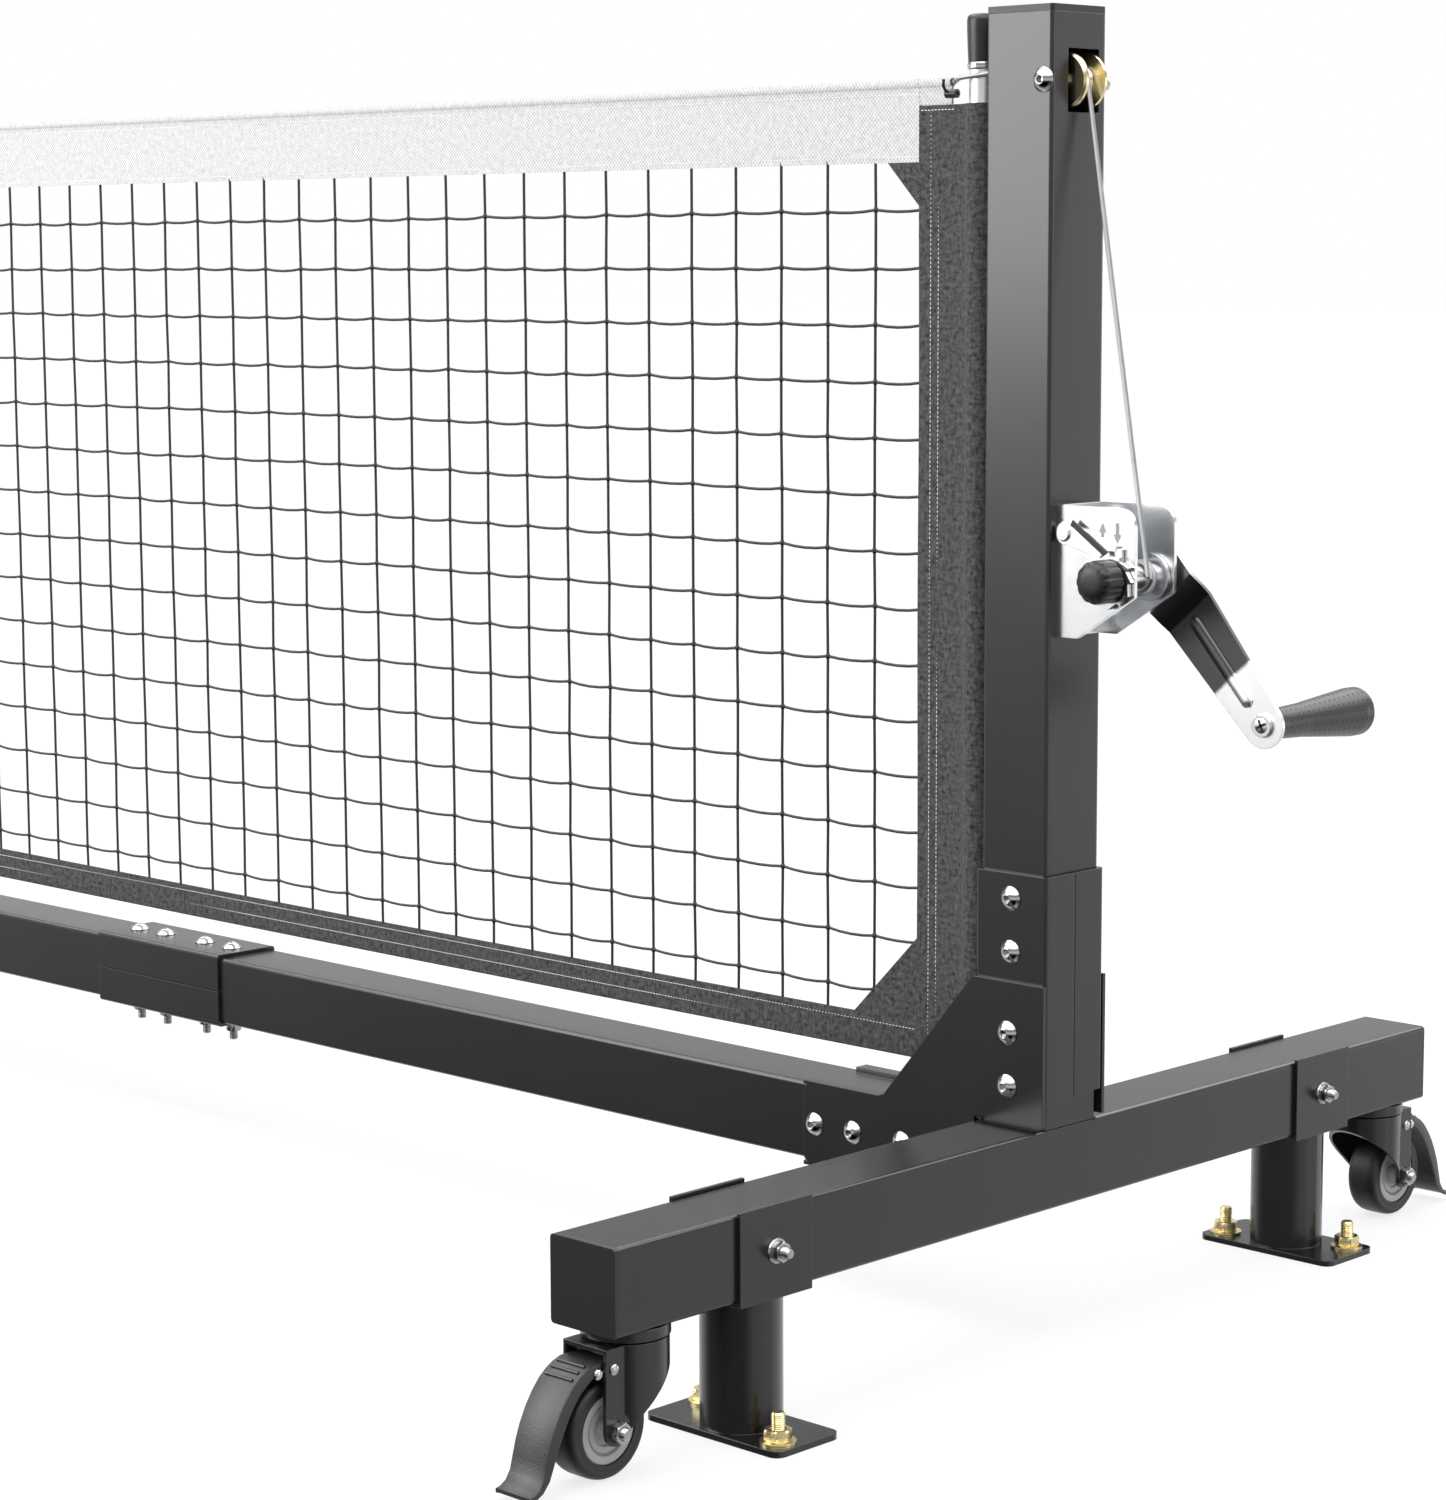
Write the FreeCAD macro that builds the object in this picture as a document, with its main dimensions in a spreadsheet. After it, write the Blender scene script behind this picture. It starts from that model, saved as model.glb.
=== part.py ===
import FreeCAD, Part
import math
import os
import re

import Sketcher

# A pickleball net on a rolling steel frame.  Millimetres, +Z up, +X along the net towards the winch.
# The origin is on the floor under the middle of the whole object, winch crank included.

SIZES = {
    "mid_x": -61,                # the net's middle lies behind the object's, the crank being on one end only
    "half_span": 3353,           # middle of the net to a post's centre line
    "tube_side": 60,
    "tube_wall": 2,
    "tube_corner": 3,
    "end_gap": 1,                # between two tube ends inside a sleeve
    "foot_length": 925,
    "frame_base": 100,           # underside of the feet and of the long beam
    "post_top": 955,
    "cap_thick": 5,
    "cap_plug": 12,
    "foot_cap_thick": 3,
    "sleeve_length": 179,
    "post_sleeve_low": 182,
    "post_sleeve_high": 346,
    "sleeve_wall": 3,
    "sleeve_seam": 0.8,
    "post_sleeve_height": 258.5,
    "near_bolt": 29.5,
    "far_bolt": 69,
    "end_section": 985,          # foot to the middle of the first beam sleeve
    "bolt_radius": 4,
    "bolt_slack": 0.4,
    "head_radius": 9,
    "head_height": 5.5,
    "nut_radius": 7.5,           # corner radius of the hexagon
    "nut_height": 7,
    "nut_slack": 0.05,
    "bolt_tail": 19,             # from the clamped face to the tip, nut included
    "gusset_wall": 3,
    "gusset_top": 267,
    "gusset_reach": 231,
    "gusset_knee": 153.5,
    "gusset_flange": 12,
    "gusset_corner": 5,
    "gusset_bolt_a": 131.5,
    "gusset_bolt_b": 180.5,
    "gusset_bolt_c": 219.5,
    "foot_clearance": 3,
    "stand_offset": 315,
    "stand_radius": 28.5,
    "stand_wall": 3,
    "plate_long": 126,
    "plate_wide": 63,
    "plate_thick": 4.5,
    "plate_corner": 8,
    "saddle_wide": 70,
    "saddle_wall": 3,
    "saddle_lip": 2,
    "floor_bolt_long": 48,
    "floor_bolt_wide": 15,
    "floor_bolt_radius": 5,
    "floor_hole_slack": 0.5,
    "floor_bolt_top": 26,
    "floor_nut_radius": 9.8,
    "floor_nut_height": 8,
    "washer_radius": 12.5,
    "washer_thick": 2,
    "swivel_offset": 424,
    "trail": 28,
    "wheel_radius": 34,
    "wheel_lift": 1,
    "tyre_width": 26,
    "hub_radius": 24,
    "hub_width": 24,
    "boss_radius": 8,
    "axle_radius": 4,
    "run_slack": 0.05,
    "fork_width": 40,
    "fork_wall": 2.5,
    "fork_round": 29,
    "fork_top": 91,
    "fork_nose": 37,
    "fork_tip_radius": 10,
    "collar_radius": 30,
    "collar_gap": 1.5,
    "kingpin_radius": 6,
    "pedal_width": 33,
    "pedal_pivot_out": 30,
    "pedal_pivot_up": 77,
    "pedal_pin_radius": 2.5,
    "pedal_boss_radius": 6,
    "pedal_thick": 3,
    "pedal_tip_out": 102,
    "pulley_height": 908,
    "pulley_inset": 8,
    "pulley_side": 4.5,
    "pulley_radius": 20,
    "pulley_groove": 9.75,
    "pulley_width": 26,
    "slot_width": 34.5,
    "slot_height": 44,
    "rope_radius": 1.75,
    "rope_hem": 3.5,
    "rope_channel": 2.4,
    "winch_height": 561,
    "winch_out": 50,
    "winch_front": 21,
    "winch_back": 27,
    "winch_wall": 3,
    "winch_top": 612,
    "winch_bottom": 518,
    "winch_reach": 69.5,
    "winch_corner": 14,
    "drum_radius": 9.5,
    "drum_flange": 17,
    "shaft_radius": 6,
    "ratchet_radius": 20,
    "ratchet_thick": 4,
    "knob_radius": 15.5,
    "knob_thick": 20,
    "crank_length": 133,
    "crank_angle": -48.9,
    "crank_plate": 3,
    "crank_offset": 7,
    "crank_gap": 4.5,
    "crank_wide": 46,
    "crank_narrow": 33,
    "grip_length": 115,
    "grip_root": 11,
    "grip_end": 17.5,
    "pawl_out": 9,
    "pawl_up": 31.5,
    "pawl_thick": 3,
    "pole_inset": "=tube_side + 27",
    "pole_radius": 10.8,
    "pole_top": 955,
    "pole_bottom": 176,
    "pole_cap_radius": 12.5,
    "pole_cap_drop": 31,
    "net_top": 914.4,
    "net_bottom": 186,
    "head_width": 60,
    "head_end": "=tube_side + 56.5",
    "head_thick": 2.4,
    "side_edge": "=tube_side + 87",
    "side_top": 895,
    "side_thick": 3,
    "side_sleeve": 13.6,
    "bottom_width": 28,
    "net_thick": 2,
    "soft_gap": 0.3,
}

doc = FreeCAD.newDocument("PickleballNet")
sheet = doc.addObject("Spreadsheet::Sheet", "Sizes")
for row, (alias, value) in enumerate(SIZES.items(), start=1):
    sheet.set(f"A{row}", alias)
    sheet.set(f"B{row}", str(value))
    sheet.setAlias(f"B{row}", alias)
doc.recompute()

ALIASES = re.compile(r"\b(" + "|".join(SIZES) + r")\b")
PARTS = []
NAMES = {}

# ---------------------------------------------------------------- helpers


def formula(text):
    """An expression on the sheet's cells, from plain text."""
    return ALIASES.sub(r"Sizes.\1", str(text))


def value(text):
    """The number a formula has now, for the pieces drawn with Part's own functions."""
    numbers = {alias: sheet.get(alias) for alias in SIZES}
    result = text
    for alias in sorted(numbers, key=len, reverse=True):
        result = re.sub(rf"\b{alias}\b", f"({float(numbers[alias])!r})", result)
    return float(FreeCAD.Units.Quantity(result).Value)


def bind(item, prop, text):
    item.setExpression(prop, formula(text))


def new(kind, name):
    """A document object with a name of its own."""
    NAMES[name] = NAMES.get(name, 0) + 1
    return doc.addObject(kind, f"{name}_{NAMES[name]}")


def place(item, at, turn=None):
    """Binds an object's position to three formulas."""
    if turn:
        rotation = FreeCAD.Rotation(FreeCAD.Vector(*turn[0]), turn[1])
        item.Placement = FreeCAD.Placement(FreeCAD.Vector(), rotation)
    for letter, text in zip("xyz", at):
        bind(item, f"Placement.Base.{letter}", text)
    return item


def block(name, size, centre):
    """A box from its three sizes and its centre."""
    item = new("Part::Box", name)
    for prop, text in zip(("Length", "Width", "Height"), size):
        bind(item, prop, text)
    corner = [f"({middle}) - ({length}) / 2" for middle, length in zip(centre, size)]
    return place(item, corner)


TURNS = {"X": ((0, 1, 0), 90), "Y": ((1, 0, 0), -90), "Z": None}


def along(axis, centre, length):
    """The start point of a run of some length, centred on a point, along an axis."""
    start = list(centre)
    index = "XYZ".index(axis)
    start[index] = f"({centre[index]}) - ({length}) / 2"
    return start


def rod(name, radius, length, centre, axis):
    """A cylinder centred on a point."""
    item = new("Part::Cylinder", name)
    bind(item, "Radius", radius)
    bind(item, "Height", length)
    return place(item, along(axis, centre, length), TURNS[axis])


def hexagon(name, radius, length, centre, axis):
    """A hexagonal prism centred on a point."""
    item = new("Part::Prism", name)
    item.Polygon = 6
    bind(item, "Circumradius", radius)
    bind(item, "Height", length)
    return place(item, along(axis, centre, length), TURNS[axis])


def group(name, pieces):
    if len(pieces) == 1:
        return pieces[0]
    item = new("Part::Compound", name)
    item.Links = pieces
    return item


def join(name, pieces):
    item = new("Part::MultiFuse", name)
    item.Shapes = pieces
    return item


def cut(name, base, tools):
    item = new("Part::Cut", name)
    item.Base = base
    item.Tool = group(name + "_tools", tools)
    return item


def common(name, first, second):
    item = new("Part::Common", name)
    item.Base = first
    item.Tool = second
    return item


def keep(item, label):
    """Marks a finished sub-part."""
    item.Label = label
    PARTS.append(item)
    return item


def plane(body, role):
    return next(f for f in body.Origin.OriginFeatures if f.Role == role)


def outline(body, role, points):
    """A closed sketch of straight lines, each corner tied to two formulas."""
    sketch = body.newObject("Sketcher::SketchObject", body.Name + "_outline")
    sketch.AttachmentSupport = [(plane(body, role), "")]
    sketch.MapMode = "FlatFace"
    numbers = [FreeCAD.Vector(value(u), value(v), 0) for u, v in points]
    count = len(points)
    for index, start in enumerate(numbers):
        sketch.addGeometry(Part.LineSegment(start, numbers[(index + 1) % count]), False)
    for index in range(count):
        sketch.addConstraint(Sketcher.Constraint("Coincident", index, 2, (index + 1) % count, 1))
    for index, texts in enumerate(points):
        for kind, text in zip(("DistanceX", "DistanceY"), texts):
            number = numbers[index].x if kind == "DistanceX" else numbers[index].y
            place_at = sketch.addConstraint(Sketcher.Constraint(kind, -1, 1, index, 1, number))
            sketch.renameConstraint(place_at, f"{kind}{index}")
            bind(sketch, f"Constraints.{kind}{index}", text)
    return sketch


def rectangle(half_across, half_up):
    """The four corners of a rectangle round its middle."""
    left, low = f"-{half_across}", f"-{half_up}"
    return [(left, low), (half_across, low), (half_across, half_up), (left, half_up)]


def plate(name, role, points, depth, at, turn=None):
    """A PartDesign body: an outline padded evenly both ways from its plane."""
    body = new("PartDesign::Body", name)
    sketch = outline(body, role, points)
    pad = body.newObject("PartDesign::Pad", body.Name + "_pad")
    pad.Profile = sketch
    pad.Midplane = True
    bind(pad, "Length", depth)
    doc.recompute()
    return place(body, at, turn)


def turned(name, points, at, turn=None):
    """A PartDesign body: an outline of (radius, height) corners turned about +Z."""
    body = new("PartDesign::Body", name)
    sketch = outline(body, "XZ_Plane", points)
    turning = body.newObject("PartDesign::Revolution", body.Name + "_turning")
    turning.Profile = sketch
    turning.ReferenceAxis = (sketch, ["V_Axis"])
    turning.Angle = 360
    doc.recompute()
    return place(body, at, turn)


def round_edges(body, radius, picks):
    """Rounds the edges of a body that picks() accepts, by a formula's radius."""
    base = body.Tip
    names = [f"Edge{i}" for i, edge in enumerate(base.Shape.Edges, start=1) if picks(edge)]
    rounding = body.newObject("PartDesign::Fillet", body.Name + "_rounding")
    rounding.Base = (base, names)
    bind(rounding, "Radius", radius)
    body.Tip = rounding
    doc.recompute()
    return body


def runs_along(edge, letter):
    """True for a straight edge parallel to an axis."""
    if edge.Curve.TypeId != "Part::GeomLine":
        return False
    return abs(abs(getattr(edge.Curve.Direction, letter)) - 1) < 1e-6


def near(edge, u, v, letters="xy"):
    """True where an edge's middle lies on the corner (u, v) of an outline."""
    middle = edge.CenterOfMass
    return abs(getattr(middle, letters[0]) - u) < 0.01 and abs(getattr(middle, letters[1]) - v) < 0.01


# ---------------------------------------------------------------- places

ENDS = {"winch": 1, "far": -1}
SIDES = {"front": -1, "back": 1}


def end_x(end, outward):
    """The x of a place given outwards from the outer face of an end's post."""
    return f"mid_x + {ENDS[end]} * (half_span + tube_side / 2 + ({outward}))"


POST_X = "-tube_side / 2"
BEAM_MID = "frame_base + tube_side / 2"
BEAM_TOP = "frame_base + tube_side"
SLEEVE_OUT = "tube_side / 2 + sleeve_wall"
BOLT_ROWS = ("far_bolt", "near_bolt", "-near_bolt", "-far_bolt")
GUSSET_BOLTS = ("gusset_bolt_a", "gusset_bolt_b", "gusset_bolt_c")
SLEEVE_PITCH = "(half_span - tube_side / 2 - end_section) / 2"
STEPS = (-2, -1, 0, 1, 2)


def sleeve_x(step):
    return f"mid_x + {step} * {SLEEVE_PITCH}"


# The rope leaves the pulley level, then slopes to pass in front of the poles.  ROPE_TURN and ROPE_CROSS
# are how far behind the post's outer face that slope starts and ends.
WINCH_MID = "(winch_back - winch_front) / 2"
WINCH_SCREWS = ("winch_top - 12", "winch_bottom + 9")
ROPE_PASS = "pole_radius + rope_radius + 0.6"
ROPE_LINE = "net_top - rope_hem"
ROPE_TOP = "pulley_height + pulley_groove + rope_radius"
ROPE_TURN = 34.0
ROPE_CROSS = 72.0
ROPE_SHARE = f"(tube_side - {ROPE_TURN}) / ({ROPE_CROSS} - {ROPE_TURN})"
ROPE_CROSS_Z = f"({ROPE_TOP} + {ROPE_LINE}) / 2"
ROPE_HOLE_Y = f"pulley_side - ({ROPE_SHARE}) * (pulley_side + {ROPE_PASS})"
ROPE_HOLE_Z = f"{ROPE_TOP} - ({ROPE_SHARE}) * (({ROPE_TOP}) - ({ROPE_CROSS_Z}))"


# ---------------------------------------------------------------- tubes


TUBE_SQUARE = rectangle("tube_side / 2", "tube_side / 2")


def square_tube(name, length, centre, axis):
    """A square tube with rounded corners: outer bar less inner bar, centred on a point."""
    bar = plate(name, "XY_Plane", TUBE_SQUARE, length, centre, TURNS[axis])
    round_edges(bar, "tube_corner", lambda edge: runs_along(edge, "z"))
    bore_side = "tube_side - 2 * tube_wall"
    size = [bore_side, bore_side, bore_side]
    size["XYZ".index(axis)] = f"({length}) + 2 * tube_side"
    return cut(name, bar, [block(name + "_bore", size, centre)])


def post_bolt_heights(low, high):
    return [f"post_sleeve_height + {row}" for row in BOLT_ROWS[low:high]]


def post(end):
    """One upper post, its bolt holes, and the rope's way through it."""
    length = "post_top - post_sleeve_height - end_gap / 2"
    middle = "(post_top + post_sleeve_height + end_gap / 2) / 2"
    x = end_x(end, POST_X)
    tube = square_tube(f"post_{end}", length, (x, "0", middle), "Z")
    across = "tube_side * 2"
    hole = "bolt_radius + bolt_slack"
    tools = [rod("hole", hole, across, (x, "0", height), "Y") for height in post_bolt_heights(0, 2)]
    if end == "winch":
        slot_x = end_x(end, "0")
        size = ("4 * tube_wall", "slot_width", "slot_height")
        tools.append(block("slot", size, (slot_x, "pulley_side", "pulley_height")))
        axle_x = end_x(end, "-pulley_inset")
        tools.append(rod("hole", "axle_radius + bolt_slack", across, (axle_x, "0", "pulley_height"), "Y"))
        rope_x = end_x(end, "-tube_side")
        rope_at = (rope_x, ROPE_HOLE_Y, ROPE_HOLE_Z)
        tools.append(rod("hole", "3.5 * rope_radius", "6 * tube_wall", rope_at, "X"))
        for height in WINCH_SCREWS:
            tools.append(rod("hole", hole, "6 * tube_wall", (slot_x, WINCH_MID, height), "X"))
    else:
        tools.append(rod("hole", "2 * rope_radius", across, (x, f"-({ROPE_PASS})", ROPE_LINE), "X"))
    return keep(cut(f"post_{end}", tube, tools), f"post_{end}_end")


def post_caps():
    """Flat plastic caps with a plug inside the post."""
    caps = []
    for end in ENDS:
        x = end_x(end, POST_X)
        lid = plate("post_cap", "XY_Plane", TUBE_SQUARE, "cap_thick", (x, "0", "post_top + cap_thick / 2"))
        round_edges(lid, "tube_corner", lambda edge: runs_along(edge, "z"))
        side = "tube_side - 2 * tube_wall - 0.4"
        plug = block("post_plug", (side, side, "cap_plug"), (x, "0", "post_top - cap_plug / 2"))
        caps.append(join("post_cap", [lid, plug]))
    return caps


def foot(end):
    """The welded foot: a cross tube with a short stub for the post."""
    x = end_x(end, POST_X)
    tube = square_tube(f"foot_{end}", "foot_length - 2 * foot_cap_thick", (x, "0", BEAM_MID), "Y")
    stub_length = f"post_sleeve_height - end_gap / 2 - ({BEAM_TOP})"
    stub_middle = f"(post_sleeve_height - end_gap / 2 + {BEAM_TOP}) / 2"
    stub = square_tube(f"stub_{end}", stub_length, (x, "0", stub_middle), "Z")
    welded = join(f"foot_{end}", [tube, stub])
    across = "tube_side * 2"
    hole = "bolt_radius + bolt_slack"
    tools = [rod("hole", hole, across, (x, "0", height), "Y") for height in post_bolt_heights(2, 4)]
    for sign in SIDES.values():
        tools.append(rod("hole", hole, across, (x, f"{sign} * stand_offset", BEAM_MID), "X"))
    return keep(cut(f"foot_{end}", welded, tools), f"foot_{end}_end")


def foot_caps():
    """Flat plastic caps on the ends of the feet."""
    caps = []
    for end in ENDS:
        for sign in SIDES.values():
            y = f"{sign} * (foot_length - foot_cap_thick) / 2"
            centre = (end_x(end, POST_X), y, BEAM_MID)
            lid = plate("foot_cap", "XZ_Plane", TUBE_SQUARE, "foot_cap_thick", centre)
            caps.append(round_edges(lid, "tube_corner", lambda edge: runs_along(edge, "y")))
    return caps


def beam_holes(x_texts):
    hole = "bolt_radius + bolt_slack"
    return [rod("hole", hole, "tube_side * 2", (x, "0", BEAM_MID), "Z") for x in x_texts]


def beam_ends():
    """The two end sections, from a foot to the middle of the first sleeve."""
    sections = []
    for end, sign in ENDS.items():
        length = "end_section - end_gap / 2"
        middle = end_x(end, "-tube_side - (end_section - end_gap / 2) / 2")
        tube = square_tube(f"beam_end_{end}", length, (middle, "0", BEAM_MID), "X")
        rows = [f"{sleeve_x(2 * sign)} + {sign} * {row}" for row in ("near_bolt", "far_bolt")]
        tools = beam_holes(rows)
        for place_in in GUSSET_BOLTS:
            centre = (end_x(end, f"-{place_in}"), "0", BEAM_MID)
            tools.append(rod("hole", "bolt_radius + bolt_slack", "tube_side * 2", centre, "Y"))
        sections.append(cut(f"beam_end_{end}", tube, tools))
    keep(group("beam_end_sections", sections), "beam_end_sections")


def beam_middles():
    """The four sections between sleeves."""
    sections = []
    for step in STEPS[:-1]:
        middle = f"mid_x + ({step} + 0.5) * {SLEEVE_PITCH}"
        tube = square_tube("beam_middle", f"{SLEEVE_PITCH} - end_gap", (middle, "0", BEAM_MID), "X")
        rows = [f"{sleeve_x(step)} + {row}" for row in ("near_bolt", "far_bolt")]
        rows += [f"{sleeve_x(step + 1)} - {row}" for row in ("near_bolt", "far_bolt")]
        sections.append(cut("beam_middle", tube, beam_holes(rows)))
    keep(group("beam_middle_sections", sections), "beam_middle_sections")


# ---------------------------------------------------------------- sleeves and gussets


def sleeve_pair(name, joint, centre, length, axis, split):
    """Two folded U shells round a tube joint, split at the tube's middle plane."""
    outer = f"2 * ({SLEEVE_OUT})"
    size = {"X": (length, outer, outer), "Z": (outer, outer, length)}[axis]
    half = f"({SLEEVE_OUT})"
    bar = plate(name, "XY_Plane", rectangle(half, half), length, centre, TURNS[axis])
    round_edges(bar, "tube_corner", lambda edge: runs_along(edge, "z"))
    bore = list(size)
    for index, letter in enumerate("XYZ"):
        bore[index] = "sleeve_length + tube_side" if letter == axis else "tube_side"
    hollow = cut(name, bar, [block("bore", bore, centre)])
    across = "tube_side * 2"
    tools = []
    for row in BOLT_ROWS:
        middle = list(joint)
        index = "XYZ".index(axis)
        middle[index] = f"{joint[index]} + {row}"
        tools.append(rod("hole", "bolt_radius + bolt_slack", across, middle, split))
    drilled = cut(name, hollow, tools)
    halves = []
    for sign in (-1, 1):
        where = list(centre)
        index = "XYZ".index(split)
        where[index] = f"{centre[index]} + {sign} * (tube_side + sleeve_seam / 2)"
        reach = ["2 * tube_side + sleeve_length"] * 3
        reach[index] = "2 * tube_side"
        halves.append(common(name, drilled, block("half", reach, where)))
    return halves


def sleeves():
    halves = []
    for end in ENDS:
        x = end_x(end, POST_X)
        centre = (x, "0", "(post_sleeve_high + post_sleeve_low) / 2")
        length = "post_sleeve_high - post_sleeve_low"
        halves += sleeve_pair("post_sleeve", (x, "0", "post_sleeve_height"), centre, length, "Z", "Y")
    keep(group("post_sleeve_halves", halves), "post_sleeve_halves")
    halves = []
    for step in STEPS:
        centre = (sleeve_x(step), "0", BEAM_MID)
        halves += sleeve_pair("beam_sleeve", centre, centre, "sleeve_length", "X", "Z")
    keep(group("beam_sleeve_halves", halves), "beam_sleeve_halves")


def gusset(end, sign):
    """A corner plate over the post sleeve and the beam, with lips round the beam."""
    turn = ENDS[end]
    top_left = f"{turn} * -(tube_side + sleeve_wall)"
    points = [
        (f"{turn} * sleeve_wall", "gusset_top"),
        (top_left, "gusset_top"),
        (f"{turn} * -gusset_knee", BEAM_TOP),
        (f"{turn} * -gusset_reach", BEAM_TOP),
        (f"{turn} * -gusset_reach", "frame_base"),
        (f"{turn} * -(tube_side + 1)", "frame_base"),
        (f"{turn} * -(tube_side + 1)", f"{BEAM_TOP} + foot_clearance"),
        (f"{turn} * sleeve_wall", f"{BEAM_TOP} + foot_clearance"),
    ]
    y = f"{sign} * ({SLEEVE_OUT} + gusset_wall / 2)"
    sheet_part = plate("gusset", "XZ_Plane", points, "gusset_wall", (end_x(end, "0"), y, "0"))
    rounded = [(value(u), value(v)) for u, v in (points[1], points[2], points[3], points[4])]
    picks = lambda edge: runs_along(edge, "y") and any(near(edge, u, v, "xz") for u, v in rounded)
    round_edges(sheet_part, "gusset_corner", picks)
    pad_long = "gusset_reach - tube_side - 1"
    pad_x = end_x(end, "-(gusset_reach + tube_side + 1) / 2")
    packing_y = f"{sign} * (tube_side / 2 + sleeve_wall / 2)"
    packing = block("packing", (pad_long, "sleeve_wall", "tube_side"), (pad_x, packing_y, BEAM_MID))
    lip_long = "gusset_reach - gusset_knee"
    lip_x = end_x(end, "-(gusset_reach + gusset_knee) / 2")
    lip_y = f"{sign} * ({SLEEVE_OUT} + gusset_wall - gusset_flange / 2)"
    pieces = [sheet_part, packing]
    for height in (f"{BEAM_TOP} + gusset_wall / 2", "frame_base - gusset_wall / 2"):
        pieces.append(block("lip", (lip_long, "gusset_flange", "gusset_wall"), (lip_x, lip_y, height)))
    folded = join("gusset", pieces)
    hole = "bolt_radius + bolt_slack"
    across = "tube_side"
    x = end_x(end, POST_X)
    tools = [rod("hole", hole, across, (x, y, height), "Y") for height in post_bolt_heights(2, 4)]
    for place_in in GUSSET_BOLTS:
        tools.append(rod("hole", hole, across, (end_x(end, f"-{place_in}"), y, BEAM_MID), "Y"))
    return cut("gusset", folded, tools)


def gussets():
    plates = [gusset(end, sign) for end in ENDS for sign in SIDES.values()]
    keep(group("gusset_plates", plates), "gusset_plates")


# ---------------------------------------------------------------- bolts

OUTWARD = {"Y": ((1, 0, 0), 90), "Z": None, "X": ((0, 1, 0), -90)}


def dome(centre, axis):
    """A bolt's round head: a slice of a sphere that sits on a face and points to -axis, or +Z."""
    item = new("Part::Sphere", "dome")
    ball = "(head_radius ^ 2 + head_height ^ 2) / (2 * head_height)"
    bind(item, "Radius", ball)
    bind(item, "Angle1", f"asin((({ball}) - head_height) / ({ball}))")
    item.Angle2 = 90
    start = list(centre)
    index = "XYZ".index(axis)
    back = f"(({ball}) - head_height)"
    start[index] = f"{centre[index]} - {back}" if axis == "Z" else f"{centre[index]} + {back}"
    return place(item, start, OUTWARD[axis])


def clamp_bolt(grip, centre, axis):
    """A round-headed bolt and its nut: the head on the -axis side, or on top for Z."""
    sign = 1 if axis == "Z" else -1
    index = "XYZ".index(axis)
    face = list(centre)
    face[index] = f"{centre[index]} + {sign} * ({grip}) / 2"
    middle = list(centre)
    middle[index] = f"{centre[index]} - {sign} * bolt_tail / 2"
    shank = rod("shank", "bolt_radius", f"{grip} + bolt_tail", middle, axis)
    bolt = join("bolt", [shank, dome(face, axis)])
    seat = list(centre)
    seat[index] = f"{centre[index]} - {sign} * (({grip}) + nut_height) / 2"
    blank = hexagon("nut", "nut_radius", "nut_height", seat, axis)
    nut = cut("nut", blank, [rod("thread", "bolt_radius + nut_slack", "2 * nut_height", seat, axis)])
    return bolt, nut


def frame_bolts():
    """Every round-headed bolt of the frame, and every nut."""
    plain = f"2 * ({SLEEVE_OUT})"
    thick = f"2 * ({SLEEVE_OUT} + gusset_wall)"
    pairs = []
    for step in STEPS:
        for row in BOLT_ROWS:
            pairs.append(clamp_bolt(plain, (f"{sleeve_x(step)} + {row}", "0", BEAM_MID), "Z"))
    for end in ENDS:
        x = end_x(end, POST_X)
        for height in post_bolt_heights(0, 2):
            pairs.append(clamp_bolt(plain, (x, "0", height), "Y"))
        for height in post_bolt_heights(2, 4):
            pairs.append(clamp_bolt(thick, (x, "0", height), "Y"))
        for place_in in GUSSET_BOLTS:
            pairs.append(clamp_bolt(thick, (end_x(end, f"-{place_in}"), "0", BEAM_MID), "Y"))
    keep(group("frame_bolts", [bolt for bolt, _ in pairs]), "frame_bolts")
    keep(group("frame_nuts", [nut for _, nut in pairs]), "frame_nuts")


# ---------------------------------------------------------------- anchor stands


def stand(end, side):
    """A floor plate, a round post and a saddle under the foot, welded together."""
    sign = SIDES[side]
    x = end_x(end, POST_X)
    y = f"{sign} * stand_offset"
    corners = rectangle("plate_long / 2", "plate_wide / 2")
    base = plate("floor_plate", "XY_Plane", corners, "plate_thick", (x, y, "plate_thick / 2"))
    round_edges(base, "plate_corner", lambda edge: runs_along(edge, "z"))
    under = "frame_base - saddle_wall"
    leg_long = f"{under} - plate_thick"
    leg_middle = f"({under} + plate_thick) / 2"
    leg = rod("stand_leg", "stand_radius", leg_long, (x, y, leg_middle), "Z")
    bore = rod("stand_bore", "stand_radius - stand_wall", leg_long, (x, y, leg_middle), "Z")
    leg = cut("stand_leg", leg, [bore])
    tall = "tube_side + saddle_wall + saddle_lip"
    middle = f"{under} + ({tall}) / 2"
    saddle = block("saddle", ("tube_side + 2 * saddle_wall", "saddle_wide", tall), (x, y, middle))
    room = block("room", ("tube_side", "2 * saddle_wide", "2 * tube_side"), (x, y, "frame_base + tube_side"))
    saddle = cut("saddle", saddle, [room])
    welded = join("stand", [base, leg, saddle])
    tools = [rod("hole", "bolt_radius + bolt_slack", "2 * tube_side", (x, y, BEAM_MID), "X")]
    hole = "floor_bolt_radius + floor_hole_slack"
    for bolt_x, bolt_y in floor_bolt_places(end, side):
        tools.append(rod("hole", hole, "4 * plate_thick", (bolt_x, bolt_y, "0"), "Z"))
    return cut("stand", welded, tools)


def floor_bolt_places(end, side):
    """Two bolts on a diagonal of a floor plate."""
    sign = SIDES[side]
    places = []
    for reach in (1, -1):
        x = end_x(end, f"{POST_X} + {reach} * floor_bolt_long")
        y = f"{sign} * stand_offset + {sign * reach} * floor_bolt_wide"
        places.append((x, y))
    return places


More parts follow.
